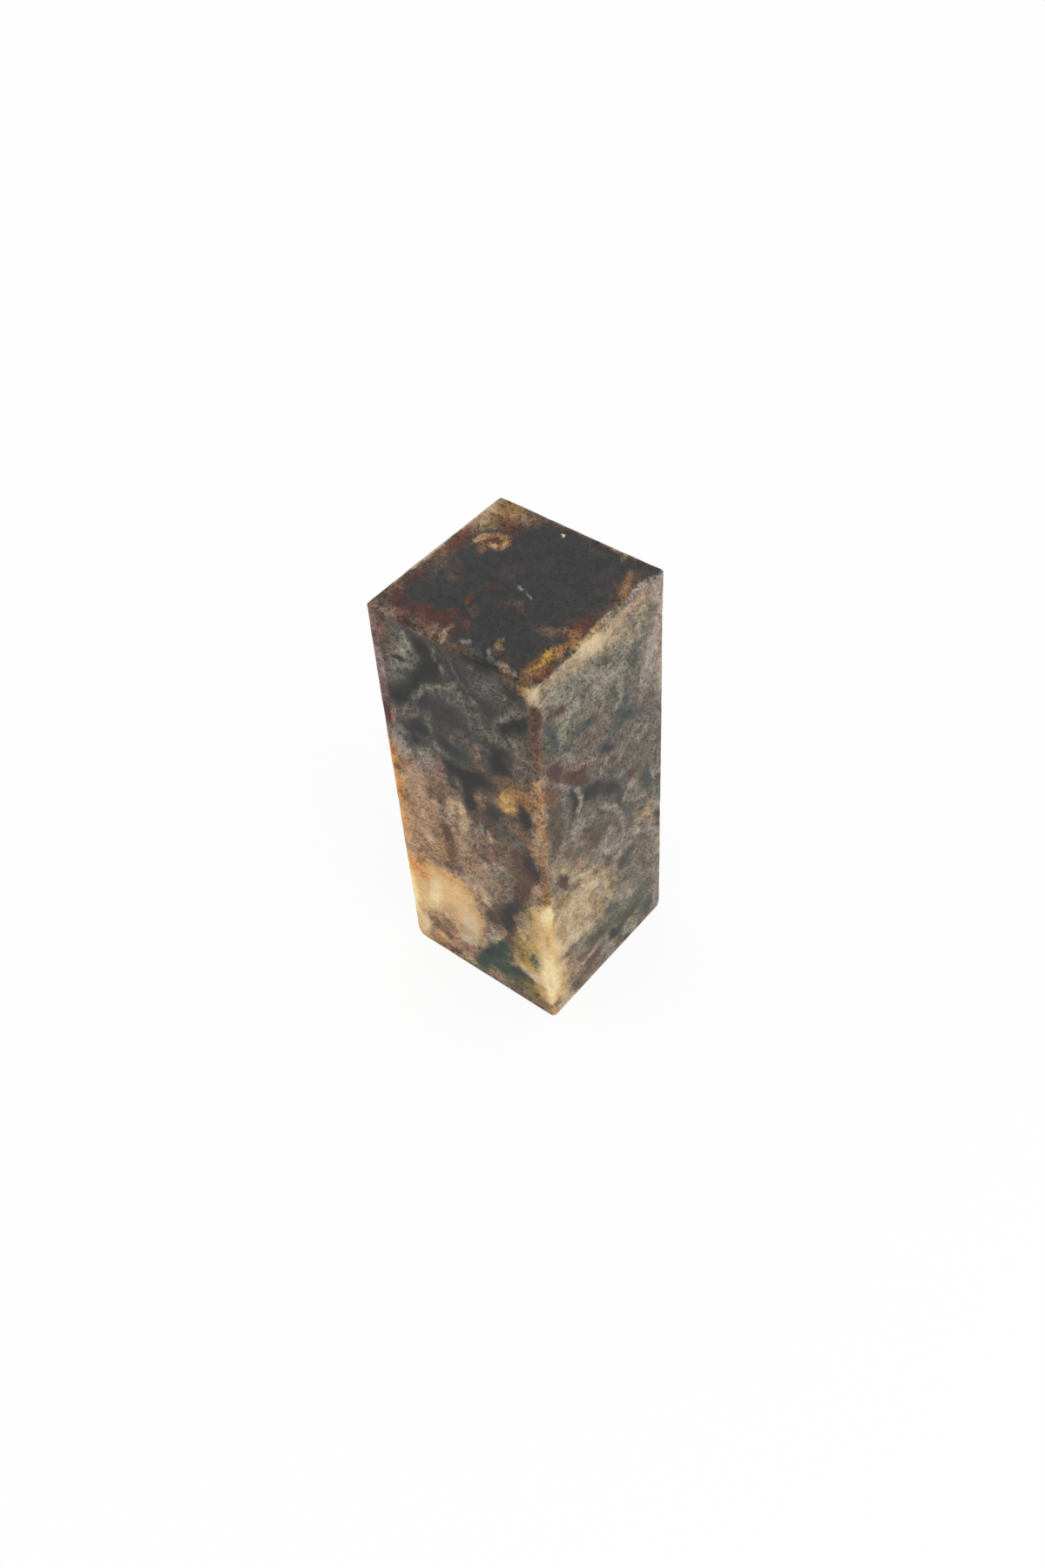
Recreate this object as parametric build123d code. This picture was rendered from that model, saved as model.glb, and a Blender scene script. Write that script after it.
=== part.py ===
from build123d import *
import os

# A square seal stamp: one polished block of marbled soft stone, carved on its foot so that a border
# and a pair of long square scrolls stand proud, with the skin of seal paste that stays on them.
# Millimetres, +Z up. The origin is under the middle of the foot, on the underside of the paste.

# Block, sawn and ground square
side = 20.0
height = 50.0
edge_round = 0.35
top_chamfer = 0.3

# Foot corners, worn back where the stamp is set down: how far, and how high the wear runs
corner_wear = 0.45
corner_wear_rise = 1.2

# Carved foot: a border along the edge, a clear margin inside it, then the scrolls
border_width = 0.7
border_margin = 0.9
line_width = 0.8
carve_depth = 0.9
scroll_cells = 5

# A carved wall leans out as it goes deeper, and a line turns its corners on an arc
wall_lean_share = 0.3
turn_share = 0.8

# Paste left on the printing lines
paste_thickness = 0.06

# One overrun serves every cut, so that no tool ends flush with what it cuts
overrun = 0.1


# The pattern is laid on a square grid: both scrolls of a pair and the gap between them take an odd
# number of pitches, and the grid fills what the border and its margin leave.
grid_lines = 2 * (scroll_cells + 1)
pattern_side = side - 2 * (border_width + border_margin)
pitch = (pattern_side - line_width) / (grid_lines - 1)
line_gap = pitch - line_width
wall_lean = wall_lean_share * line_gap
turn_radius = (line_width + turn_share * line_gap) / 2

print_plane = paste_thickness
ground = print_plane + carve_depth
lean_per_depth = wall_lean / carve_depth


def scroll_corners():
    """Corners of the left upper scroll in grid pitches, from its outer corner in to its eye."""
    headings = [(0, -1), (1, 0), (0, 1), (-1, 0)]
    runs = [scroll_cells, scroll_cells]
    for run in range(scroll_cells - 1, 0, -1):
        runs += [run, run]
    x = -(scroll_cells + 0.5)
    y = scroll_cells + 0.5
    corners = [(x, y)]
    for turn, run in enumerate(runs):
        along = headings[turn % len(headings)]
        x += run * along[0]
        y += run * along[1]
        corners.append((x, y))
    return corners


def worn_block():
    """The block, with rounded upright edges, a broken top edge and worn foot corners."""
    outline = Pos(0, 0, print_plane) * RectangleRounded(side, side, edge_round)
    block = extrude(outline, height - print_plane)
    block = chamfer(block.faces().sort_by(Axis.Z)[-1].edges(), top_chamfer)

    # The wear is one ball: it leaves the upright edges where the wear ends, and at the foot it
    # stands in from them, along the diagonal, by the wear.
    edge_reach = side / 2 * 2**0.5 - edge_round * (2**0.5 - 1)
    foot_reach = edge_reach - corner_wear
    rise = corner_wear_rise
    ball_height = (edge_reach**2 + rise**2 - foot_reach**2) / (2 * rise)
    ball_radius = (foot_reach**2 + ball_height**2) ** 0.5
    ball = Pos(0, 0, print_plane + ball_height) * Sphere(ball_radius)
    around_foot = Pos(0, 0, print_plane - overrun) * Box(
        2 * side, 2 * side, ball_height + overrun, align=(Align.CENTER, Align.CENTER, Align.MIN)
    )
    return block - (around_foot - ball)


def leaning_section():
    """A line's cut section: x across the line, y up from the printing plane, wider as it rises."""
    low = -overrun
    high = carve_depth + overrun
    half_low = line_width / 2 + lean_per_depth * low
    half_high = line_width / 2 + lean_per_depth * high
    return Polygon(
        (-half_low, low), (half_low, low), (half_high, high), (-half_high, high), align=None
    )


def round_end(point):
    """The turned end of a line, where the knife went round it."""
    low = -overrun
    high = carve_depth + overrun
    cone = Cone(
        line_width / 2 + lean_per_depth * low,
        line_width / 2 + lean_per_depth * high,
        high - low,
        align=(Align.CENTER, Align.CENTER, Align.MIN),
    )
    return Pos(point.X, point.Y, print_plane + low) * cone


def scroll_pair():
    """One raised line: from the eye of the right scroll, out, across the top and in to the left."""
    left = [(pitch * x, pitch * y) for x, y in scroll_corners()]
    right = [(-x, y) for x, y in reversed(left)]
    path = FilletPolyline(*right, *left, radius=turn_radius)
    start = path @ 0
    along = path % 0
    across = Vector(0, 0, 1).cross(along)
    section_plane = Plane(origin=start + Vector(0, 0, print_plane), x_dir=across, z_dir=along)
    raised = Pos(0, 0, print_plane) * path
    line = sweep(section_plane * leaning_section(), path=raised)
    return line + round_end(path @ 0) + round_end(path @ 1)


def carved_ground():
    """What the knife takes out: everything inside the border but the two raised lines."""
    mouth = side - 2 * border_width
    mouth_round = turn_radius
    low = -overrun
    sections = []
    for depth in (low, carve_depth):
        lean = lean_per_depth * depth
        face = RectangleRounded(mouth - 2 * lean, mouth - 2 * lean, mouth_round - lean)
        sections.append(Pos(0, 0, print_plane + depth) * face)
    upper_pair = scroll_pair()
    lower_pair = mirror(upper_pair, about=Plane.XZ)
    return loft(sections, ruled=True) - upper_pair - lower_pair


def paste_skin(stone):
    """One thin solid under each printing face of the stone, the lowest faces that it has."""
    printing = stone.faces().group_by(Axis.Z)[0]
    skins = [extrude(face, paste_thickness, dir=(0, 0, -1)).solid() for face in printing]
    return Compound(children=skins)


os.makedirs("parts", exist_ok=True)

stone = worn_block() - carved_ground()
export_step(stone, "parts/seal_stone.step")

paste = paste_skin(stone)
export_step(paste, "parts/seal_paste_film.step")

print("pitch", round(pitch, 3), "gap", round(line_gap, 3), "turn radius", round(turn_radius, 3))
print("stone", round(stone.volume, 1), "mm3, paste", len(paste.solids()), "skins")
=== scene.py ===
# %% [markdown]
# # A seal stamp cut from marbled stone
# The real thing is one block of soft stone, ground square, polished and carved on its foot. What
# makes it worth looking at is the stone: clouds of charcoal, ash, honey and amber that run right
# through it. The packed part says where everything is. This lesson makes a finer block with worn
# edges and a hand-cut foot by rules, lays the seal paste on it, and paints the marbling as one solid
# pattern in space, so that it runs over the edges as it does in real stone.

# %% The packed part
import bpy
import math
from mathutils import Color, Matrix, Vector


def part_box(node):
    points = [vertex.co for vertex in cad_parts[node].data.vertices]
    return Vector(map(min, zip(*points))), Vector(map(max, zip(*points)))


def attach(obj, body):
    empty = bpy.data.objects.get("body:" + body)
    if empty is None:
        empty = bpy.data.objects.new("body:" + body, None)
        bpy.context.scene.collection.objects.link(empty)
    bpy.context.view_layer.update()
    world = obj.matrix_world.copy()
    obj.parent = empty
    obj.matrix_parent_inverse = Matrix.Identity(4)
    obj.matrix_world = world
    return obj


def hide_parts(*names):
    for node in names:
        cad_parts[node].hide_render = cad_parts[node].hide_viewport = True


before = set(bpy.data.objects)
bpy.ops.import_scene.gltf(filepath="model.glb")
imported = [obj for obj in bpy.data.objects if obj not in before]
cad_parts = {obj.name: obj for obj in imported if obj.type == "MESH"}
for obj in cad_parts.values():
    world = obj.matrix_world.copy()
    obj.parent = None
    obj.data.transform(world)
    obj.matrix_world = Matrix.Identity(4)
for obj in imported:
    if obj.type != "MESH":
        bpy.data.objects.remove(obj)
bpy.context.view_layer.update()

# %% Sizes read from the part
mm = 0.001
stone_low, stone_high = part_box("seal_stone")
paste_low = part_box("seal_paste_film")[0]
half_side = (stone_high.x - stone_low.x) / 2
top = stone_high.z
print_plane = stone_low.z
stand_level = paste_low.z
print("half side, top and printing plane:", [round(at / mm, 2) for at in (half_side, top, print_plane)])

# %% [markdown]
# ## Node sums written as Python sums
# Both the shapes and the finishes here are built from nodes, and most of those nodes are arithmetic.
# A long row of Math nodes is hard to read, so one small class wraps a node's output and lets +, -, *
# and / add the Math node. It serves a shader and a geometry tree alike, because both share their
# Math, Noise and Map Range nodes.

# %% Sockets
class Socket:
    """One output of a node that can stand in a Python sum."""

    def __init__(self, tree, end):
        self.tree = tree
        self.end = end

    def __add__(self, other):
        return self.tree.maths("ADD", self, other)

    def __radd__(self, other):
        return self.tree.maths("ADD", other, self)

    def __sub__(self, other):
        return self.tree.maths("SUBTRACT", self, other)

    def __rsub__(self, other):
        return self.tree.maths("SUBTRACT", other, self)

    def __mul__(self, other):
        return self.tree.maths("MULTIPLY", self, other)

    def __rmul__(self, other):
        return self.tree.maths("MULTIPLY", other, self)

    def __truediv__(self, other):
        return self.tree.maths("DIVIDE", self, other)

    def __rtruediv__(self, other):
        return self.tree.maths("DIVIDE", other, self)


print("Socket:", Socket.__doc__)

# %% [markdown]
# ## One way to make a node
# Written out, a node takes a line for each of its settings, values and links. One method here takes
# them all at once, and makes every kind of node. The settings go in first, because a setting such as
# a Mix node's data type decides which inputs are in use. Inputs are found by their identifiers,
# because several of them can have one name, as those of a Math node have.

# %% Trees
class Tree:
    """A node tree that is written out in Python."""

    def __init__(self, nodes_in):
        self.made = nodes_in

    def node(self, kind, settings=None, sockets=None, out=0):
        """Any node: its type, its settings, its inputs by identifier, and which output is wanted."""
        node = self.made.nodes.new(kind)
        for name, value in (settings or {}).items():
            if name == "stops":
                self.set_stops(node.color_ramp, value)
            else:
                setattr(node, name, value)
        ends = {end.identifier: end for end in node.inputs}
        for name, value in (sockets or {}).items():
            self.join(value, ends[name])
        if isinstance(out, str):
            out = [end.identifier for end in node.outputs].index(out)
        return Socket(self, node.outputs[out])

    def set_stops(self, ramp, stops):
        while len(ramp.elements) < len(stops):
            ramp.elements.new(1)
        for element, (place, colour) in zip(ramp.elements, stops):
            element.position = place
            element.color = colour

    def join(self, value, end):
        """Puts a value, a link or several links into one input."""
        if isinstance(value, list):
            for one in value:
                self.made.links.new(one.end, end)
        elif isinstance(value, Socket):
            self.made.links.new(value.end, end)
        elif end.type == "VECTOR" and isinstance(value, (int, float)):
            end.default_value = (value, value, value)
        else:
            end.default_value = value

    def maths(self, operation, *values):
        """A Math node, or a Vector Math node where one of the values is a vector."""
        if any(self.is_vector(value) for value in values):
            ends = ("Vector", "Vector_001", "Vector_002")
            out = 1 if operation in ("LENGTH", "DOT_PRODUCT") else 0
            sockets = dict(zip(ends, values))
            return self.node("ShaderNodeVectorMath", {"operation": operation}, sockets, out)
        ends = ("Value", "Value_001", "Value_002")
        return self.node("ShaderNodeMath", {"operation": operation}, dict(zip(ends, values)))

    def is_vector(self, value):
        if isinstance(value, Socket):
            return value.end.type in ("VECTOR", "RGBA")
        return isinstance(value, (tuple, Vector))


print("Tree:", Tree.__doc__)

# %% [markdown]
# ## Steps that shapes and finishes share
# Some steps come back all through this file: a smooth step between two values, a noise, one colour
# laid over another, and a vector that is taken apart or put together. Each could be written out as
# nodes every time. A method with a plain name lets a recipe read as what is done to the stone.

# %% Common steps
class Steps(Tree):
    """A tree with the steps that both shapes and finishes use."""

    def parts(self, vector):
        """The x, y and z of a vector."""
        first = self.node("ShaderNodeSeparateXYZ", sockets={"Vector": vector})
        return [Socket(self, end) for end in first.end.node.outputs]

    def vector(self, x, y, z):
        return self.node("ShaderNodeCombineXYZ", sockets={"X": x, "Y": y, "Z": z})

    def moved(self, place, offset=(0, 0, 0)):
        """A pattern's place moved by an offset, and handed on by a Mapping node, moved or not."""
        return self.node("ShaderNodeMapping", sockets={"Vector": place, "Location": offset})

    def step(self, value, start, end, rise=1):
        """0 before start, rise past end, eased between. start may be the larger."""
        return self.node(
            "ShaderNodeMapRange",
            {"interpolation_type": "SMOOTHSTEP", "clamp": False},
            {"Value": value, "From Min": start, "From Max": end, "To Max": rise},
        )

    def eased(self, value, power):
        """0 below 0 and 1 above 1, and between them slow at first, as a worn edge falls away."""
        kept = self.maths("MINIMUM", self.maths("MAXIMUM", value, 0), 1)
        return self.maths("POWER", kept, power)

    def noise(self, place, scale, detail=0, roughness=0.5, out="Fac"):
        return self.node(
            "ShaderNodeTexNoise",
            sockets={"Vector": place, "Scale": scale, "Detail": detail, "Roughness": roughness},
            out=out,
        )

    def mix(self, share, first, second):
        """The second colour laid over the first, by a share from 0 to 1."""
        return self.node(
            "ShaderNodeMix",
            {"data_type": "RGBA"},
            {"Factor_Float": share, "A_Color": first, "B_Color": second},
            out="Result_Color",
        )


print("steps:", [name for name in vars(Steps) if not name.startswith("_")])

# %% [markdown]
# ## Recipes for shapes
# A Geometry Nodes tree is a recipe: it has named inputs for its sizes, and running it on a start mesh
# gives a shape. Here each recipe is run once, its result is taken as a plain mesh and the modifier is
# thrown away, so that what leaves this file is ordinary geometry. A modifier's input is set by its
# socket's identifier, because two inputs could have one name.

# %% Recipe
class Recipe(Steps):
    """A Geometry Nodes tree with named inputs that ends in a plain mesh."""

    def __init__(self, name):
        super().__init__(bpy.data.node_groups.new(name, "GeometryNodeTree"))
        self.ask("Geometry", "Geometry")
        self.made.interface.new_socket("Geometry", in_out="OUTPUT", socket_type="NodeSocketGeometry")

    def ask(self, name, kind="Float"):
        """A named input of the recipe."""
        socket_type = "NodeSocket" + kind
        item = self.made.interface.new_socket(name, in_out="INPUT", socket_type=socket_type)
        return self.node("NodeGroupInput", out=item.identifier)

    def start(self):
        return self.node("NodeGroupInput", out=0)

    def serve(self, geometry, material=None):
        """Ends the recipe: instances become real and the finish is set."""
        geometry = self.node("GeometryNodeRealizeInstances", sockets={"Geometry": geometry})
        if material:
            sockets = {"Geometry": geometry, "Material": material}
            geometry = self.node("GeometryNodeSetMaterial", sockets=sockets)
        last = self.made.nodes.new("NodeGroupOutput")
        self.made.links.new(geometry.end, last.inputs[0])
        print("the recipe", self.made.name, "has", len(self.made.nodes), "nodes")

    def cook(self, name, start_mesh=None, **values):
        """Runs the recipe on a mesh and returns an object that holds the result as a plain mesh."""
        piece = bpy.data.objects.new(name, start_mesh or bpy.data.meshes.new(name))
        bpy.context.collection.objects.link(piece)
        modifier = piece.modifiers.new("recipe", "NODES")
        modifier.node_group = self.made
        for item in self.made.interface.items_tree:
            if item.in_out == "INPUT" and item.name in values:
                modifier[item.identifier] = values.pop(item.name)
        if values:
            raise ValueError(f"the recipe has no input named {sorted(values)}")
        depsgraph = bpy.context.evaluated_depsgraph_get()
        cooked = bpy.data.meshes.new_from_object(piece.evaluated_get(depsgraph))
        piece.modifiers.remove(modifier)
        piece.data = cooked
        cooked.name = name
        print(name, "has", len(cooked.vertices), "points and", len(cooked.polygons), "faces")
        return piece


# %% [markdown]
# ## The view
# The camera is set first, because everything else is judged through it. It looks down on the block
# past the upright edge between its two front faces, and it was held a little crooked, so it has a
# roll. A camera's own axes are worked out from three angles and written into its matrix: that keeps
# the roll, which a Track To constraint would take out.

# %% Camera
image_height = 1800
focal_pixels = 1847.4
long_sensor = 36.0
view_azimuth = math.radians(42.06)
view_elevation = math.radians(46.85)
view_roll = math.radians(-4.47)
view_distance = 167.3 * mm
looked_at = Vector((0.78, -2.02, 25.0)) * mm


def camera_axes(azimuth, elevation, roll):
    """The camera's right, up and backward directions as the columns of a matrix."""
    backward = Vector((
        math.sin(azimuth) * math.cos(elevation),
        -math.cos(azimuth) * math.cos(elevation),
        math.sin(elevation),
    ))
    level = Vector((0, 0, 1)).cross(backward).normalized()
    upright = backward.cross(level)
    right = level * math.cos(roll) + upright * math.sin(roll)
    up = upright * math.cos(roll) - level * math.sin(roll)
    return Matrix((right, up, backward)).transposed()


camera_data = bpy.data.cameras.new("camera")
camera_data.sensor_width = long_sensor
camera_data.lens = focal_pixels / image_height * long_sensor
camera_data.clip_start = 1 * mm
camera = bpy.data.objects.new("camera", camera_data)
bpy.context.collection.objects.link(camera)
axes = camera_axes(view_azimuth, view_elevation, view_roll)
camera.matrix_world = Matrix.Translation(looked_at + axes.col[2] * view_distance) @ axes.to_4x4()
bpy.context.scene.camera = camera
print("lens", round(camera_data.lens, 2), "mm, held", round(view_distance / mm), "mm away")

# %% [markdown]
# ## The block
# A seal block is sawn, then rubbed flat on abrasive, so its faces are nearly true and its edges are
# crisp but never sharp. A cube with a Bevel modifier would give every edge one even width. Here the
# cube is a recipe: its grid is drawn together towards the edges, where detail is needed, and each
# point is then moved by a rule that rounds the upright edges, bevels the two ends, knocks the foot's
# corners back and lets a noise vary all of these a little.

# %% The block's sizes
edge_round = 0.34 * mm
top_bevel = 0.3 * mm
foot_bevel = 0.07 * mm
unevenness = 0.03 * mm
# which way the corner lies, how far it is knocked back, and how high the knock runs
corner_knocks = {
    "left": (-1, -1, 0.55 * mm, 1.25 * mm),
    "near": (1, -1, 0.32 * mm, 0.7 * mm),
    "right": (1, 1, 0.46 * mm, 1.0 * mm),
    "back": (-1, 1, 0.38 * mm, 0.9 * mm),
}
block_grid_across = 49
block_grid_up = 121
tiny = 1e-9
print("upright edges", round(edge_round / mm, 2), "mm,", len(corner_knocks), "knocked corners")

# %% The block's wear
# the number of waves in a metre, and how much of the wear each kind makes
wear_waves = 420
nick_waves = 900
nick_start = 0.6
nick_full = 0.78
wear_share = 0.9
# an edge is nowhere less worn than this share of its size
least_round = 0.55
least_bevel = 0.6
edge_fall = 1.5
hollow_waves = 160
chip_waves = 1500
chip_share = 0.5
print("a wave of wear is", round(1 / wear_waves / mm, 1), "mm long")


# %% Rounding a square outline
def square_to_round(recipe, flat, half, radius):
    """A square outline with its corners drawn in to quarter circles. flat has no height."""
    core = half - radius
    inner = recipe.maths("MAXIMUM", recipe.maths("MINIMUM", flat, core), 0 - core)
    corner = flat - inner
    corner_x, corner_y = recipe.parts(recipe.maths("ABSOLUTE", corner))[:2]
    reach = recipe.maths("MAXIMUM", corner_x, corner_y)
    length = recipe.maths("MAXIMUM", recipe.maths("LENGTH", corner), tiny)
    return inner + corner * (reach / length)


print("a corner loses", round((math.sqrt(2) - 1) * edge_round / mm, 2), "mm to its rounding")


# %% The block's recipe
def block_recipe():
    """A cube grid from -1 to 1, drawn towards its edges, then sized, rounded and worn."""
    recipe = Recipe("block")
    half = recipe.ask("half_side")
    roof = recipe.ask("top")
    foot = recipe.ask("foot")
    bend = recipe.ask("edge_round")
    roof_bevel = recipe.ask("top_bevel")
    lower_bevel = recipe.ask("foot_bevel")
    waviness = recipe.ask("unevenness")

    grid = recipe.node("GeometryNodeMeshCube", sockets={
        "Size": 2,
        "Vertices X": block_grid_across,
        "Vertices Y": block_grid_across,
        "Vertices Z": block_grid_up,
    })
    # the grid's steps shrink to nothing at the edges, where t * (2 - |t|) is level
    unit = recipe.node("GeometryNodeInputPosition")
    x, y, z = recipe.parts(unit * (2 - recipe.maths("ABSOLUTE", unit)))
    z = (roof + foot) / 2 + z * (roof - foot) / 2
    place = recipe.vector(x * half, y * half, z)

    # wear is small along most of an edge and rises in a few short nicks
    nicks = recipe.step(recipe.noise(place, nick_waves, detail=2), nick_start, nick_full)
    wear = recipe.noise(place, wear_waves, detail=1) * wear_share + nicks * wear_share

    flat = recipe.vector(x * half, y * half, 0)
    outline = square_to_round(recipe, flat, half, bend * (least_round + wear))

    # ends: the outline shrinks as it nears the top and the foot
    roof_width = roof_bevel * (least_bevel + wear)
    foot_width = lower_bevel * (least_bevel + wear)
    in_roof = recipe.eased((z - roof) / roof_width + 1, edge_fall)
    in_foot = recipe.eased((foot - z) / foot_width + 1, edge_fall)
    hollow = waviness * recipe.noise(place, hollow_waves)
    shrink = 1 - (roof_width * in_roof + foot_width * in_foot + hollow) / half
    worn = outline * shrink + recipe.vector(0, 0, z)

    # foot corners: what stands past a slanting plane is put back onto it
    diagonal = half * math.sqrt(2)
    for side_x, side_y, depth, rise in corner_knocks.values():
        facing = Vector((side_x * rise, side_y * rise, -depth * math.sqrt(2))).normalized()
        level = (diagonal - depth) * math.hypot(facing.x, facing.y) + foot * facing.z
        rough = (recipe.noise(place, chip_waves, detail=2) - 0.5) * depth * chip_share
        past = recipe.maths("DOT_PRODUCT", worn, facing) - level + rough
        worn = worn - recipe.maths("MAXIMUM", past, 0) * facing

    sockets = {"Geometry": grid, "Position": worn}
    recipe.serve(recipe.node("GeometryNodeSetPosition", sockets=sockets))
    return recipe


block_rule = block_recipe()

# %% Cooking the block
block = block_rule.cook(
    "block", half_side=half_side, top=top, foot=print_plane, edge_round=edge_round,
    top_bevel=top_bevel, foot_bevel=foot_bevel, unevenness=unevenness,
)

# %% [markdown]
# ## The raised lines
# The foot is cut so that a border and two long square scrolls stand proud. A scroll follows a rule:
# go straight, turn, and after every second turn go one pitch less. So the rule gives a few corner
# points, and a recipe does the rest: it rounds the corners, sweeps the cut section along the path,
# caps the ends with cones where the knife went round, and shakes the walls a little, because a knife
# in soft stone chips as it goes.

# %% The carving's sizes
border_width = 0.7 * mm
border_margin = 0.9 * mm
line_width = 0.8 * mm
carve_depth = 0.9 * mm
scroll_cells = 5
wall_lean_share = 0.3
turn_share = 0.8
overrun = 0.1 * mm
knife_shake = 0.09 * mm
# chips in the walls: waves in a metre, and how much the fine ones add
coarse_chips = 1400
fine_chips = 5200
fine_share = 0.6
# how finely a line is divided: along it, at a turn, up its walls and round its ends
path_step = 0.16 * mm
turn_points = 8
section_cuts = 3
cone_sides = 28

grid_lines = 2 * (scroll_cells + 1)
pattern_side = 2 * (half_side - border_width - border_margin)
pitch = (pattern_side - line_width) / (grid_lines - 1)
line_gap = pitch - line_width
wall_lean = wall_lean_share * line_gap
turn_radius = (line_width + turn_share * line_gap) / 2
ground = print_plane + carve_depth
print("pitch", round(pitch / mm, 3), "mm, gap", round(line_gap / mm, 3), "mm")


# %% The scroll's rule
def scroll_corners():
    """Corners of the left upper scroll, from its outer corner in to its eye."""
    headings = [(0, -1), (1, 0), (0, 1), (-1, 0)]
    run_lengths = [scroll_cells, scroll_cells]
    for length in range(scroll_cells - 1, 0, -1):
        run_lengths += [length, length]
    x = -(scroll_cells + 0.5)
    y = scroll_cells + 0.5
    corners = [(x * pitch, y * pitch)]
    for turn, length in enumerate(run_lengths):
        along_x, along_y = headings[turn % len(headings)]
        x += length * along_x
        y += length * along_y
        corners.append((x * pitch, y * pitch))
    return corners


def path_mesh(name, paths, height):
    """A mesh of bare edges: one chain of points for each path."""
    points = []
    edges = []
    for corners in paths:
        first = len(points)
        points += [(x, y, height) for x, y in corners]
        edges += [(at, at + 1) for at in range(first, len(points) - 1)]
    mesh = bpy.data.meshes.new(name)
    mesh.from_pydata(points, edges, [])
    return mesh


left_scroll = scroll_corners()
right_scroll = [(-x, y) for x, y in reversed(left_scroll)]
upper_line = right_scroll + left_scroll
lower_line = [(x, -y) for x, y in upper_line]
print("each raised line turns", len(upper_line) - 2, "corners")


# %% Steps that the carving recipes share
sideways = Vector((1, 1, 0))


def rounded_path(recipe, bare_edges, radius):
    """Bare edges made into a curve with rounded corners and evenly spaced points."""
    curve = recipe.node("GeometryNodeMeshToCurve", sockets={"Mesh": bare_edges})
    curve = recipe.node("GeometryNodeFilletCurve", {"mode": "POLY"}, {
        "Curve": curve, "Radius": radius, "Count": turn_points, "Limit Radius": True,
    })
    curve = recipe.node("GeometryNodeResampleCurve", {"mode": "LENGTH"}, {
        "Curve": curve, "Length": path_step,
    })
    return recipe.node("GeometryNodeSetCurveNormal", {"mode": "Z_UP"}, {"Curve": curve})


def shaken(recipe, geometry, amount):
    """Moves points sideways by a fine noise, as a knife chips the wall that it leaves."""
    place = recipe.node("GeometryNodeInputPosition")
    coarse = recipe.noise(place, coarse_chips, out="Color")
    fine = recipe.noise(place, fine_chips, detail=1, out="Color")
    middle = (1 + fine_share) / 2
    offset = (coarse + fine * fine_share - middle) * amount * sideways
    return recipe.node("GeometryNodeSetPosition", sockets={"Geometry": geometry, "Offset": offset})


def less(recipe, whole, cut):
    """The first mesh less the second."""
    settings = {"operation": "DIFFERENCE", "solver": "MANIFOLD"}
    return recipe.node("GeometryNodeMeshBoolean", settings, {"Mesh 1": whole, "Mesh 2": cut})


print("chips of", round(1 / coarse_chips / mm, 1), "and", round(1 / fine_chips / mm, 1), "mm in the walls")


# %% The recipe for the raised lines
def lines_recipe():
    """Raised lines from bare paths: rounded corners, a leaning section and turned ends."""
    recipe = Recipe("raised_lines")
    width = recipe.ask("line_width")
    depth = recipe.ask("depth")
    lean = recipe.ask("lean")
    radius = recipe.ask("turn_radius")
    shake = recipe.ask("knife_shake")
    height = depth + 2 * overrun
    lean_over = lean * overrun / depth
    low_width = width - 2 * lean_over
    high_width = width + 2 * (lean + lean_over)

    path = rounded_path(recipe, recipe.start(), radius)
    section = recipe.node("GeometryNodeCurvePrimitiveQuadrilateral", {"mode": "TRAPEZOID"}, {
        "Bottom Width": low_width, "Top Width": high_width, "Height": height, "Offset": 0,
    })
    section = recipe.node("GeometryNodeSubdivideCurve", sockets={
        "Curve": section, "Cuts": section_cuts,
    })
    line = recipe.node("GeometryNodeCurveToMesh", sockets={
        "Curve": path, "Profile Curve": section, "Fill Caps": True,
    })

    cone = recipe.node("GeometryNodeMeshCone", sockets={
        "Vertices": cone_sides,
        "Side Segments": section_cuts + 1,
        "Radius Top": high_width / 2,
        "Radius Bottom": low_width / 2,
        "Depth": height,
    })
    drop = recipe.vector(0, 0, height * -0.5)
    cone = recipe.node("GeometryNodeTransform", sockets={"Geometry": cone, "Translation": drop})
    ends = recipe.node("GeometryNodeInstanceOnPoints", sockets={
        "Points": path,
        "Selection": recipe.node("GeometryNodeCurveEndpointSelection"),
        "Instance": cone,
    })
    ends = recipe.node("GeometryNodeRealizeInstances", sockets={"Geometry": ends})
    whole = recipe.node("GeometryNodeMeshBoolean", {"operation": "UNION", "solver": "MANIFOLD"}, {
        "Mesh 2": [line, ends],
    })
    recipe.serve(shaken(recipe, whole, shake))
    return recipe


lines_rule = lines_recipe()

# %% Cooking the raised lines
middle_of_wall = print_plane + carve_depth / 2
lines = lines_rule.cook(
    "raised_lines", path_mesh("line_paths", [upper_line, lower_line], middle_of_wall),
    line_width=line_width, depth=carve_depth, lean=wall_lean, turn_radius=turn_radius,
    knife_shake=knife_shake,
)

# %% [markdown]
# ## Cutting the ground away
# What the knife takes out is a shallow tray as wide as the border leaves, less the raised lines. The
# floor of the tray is not smooth on a hand-cut seal: it is a patchwork of small flat cuts. A bump
# in the finish would leave the mesh flat, so a Voronoi texture gives each cell its own tilt, and
# tilting the tray's floor by it makes those cuts as real geometry. Two booleans then do what the
# knife does: tray less lines, and block less that.

# %% The cuts of the knife
tray_grid = 119
tray_grid_up = 7
cuts_per_metre = 1150
cut_slope = 0.2
cut_tilt = 2
cut_step = 0.3
# a cut is longer one way than the other, and its edge wanders
cut_shape = Vector((1, 0.6, 0))
wander_waves = 700
wander = 0.4
top_layer = 0.99
print("a cut of the knife is about", round(1 / cuts_per_metre / mm, 2), "mm wide")


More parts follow.
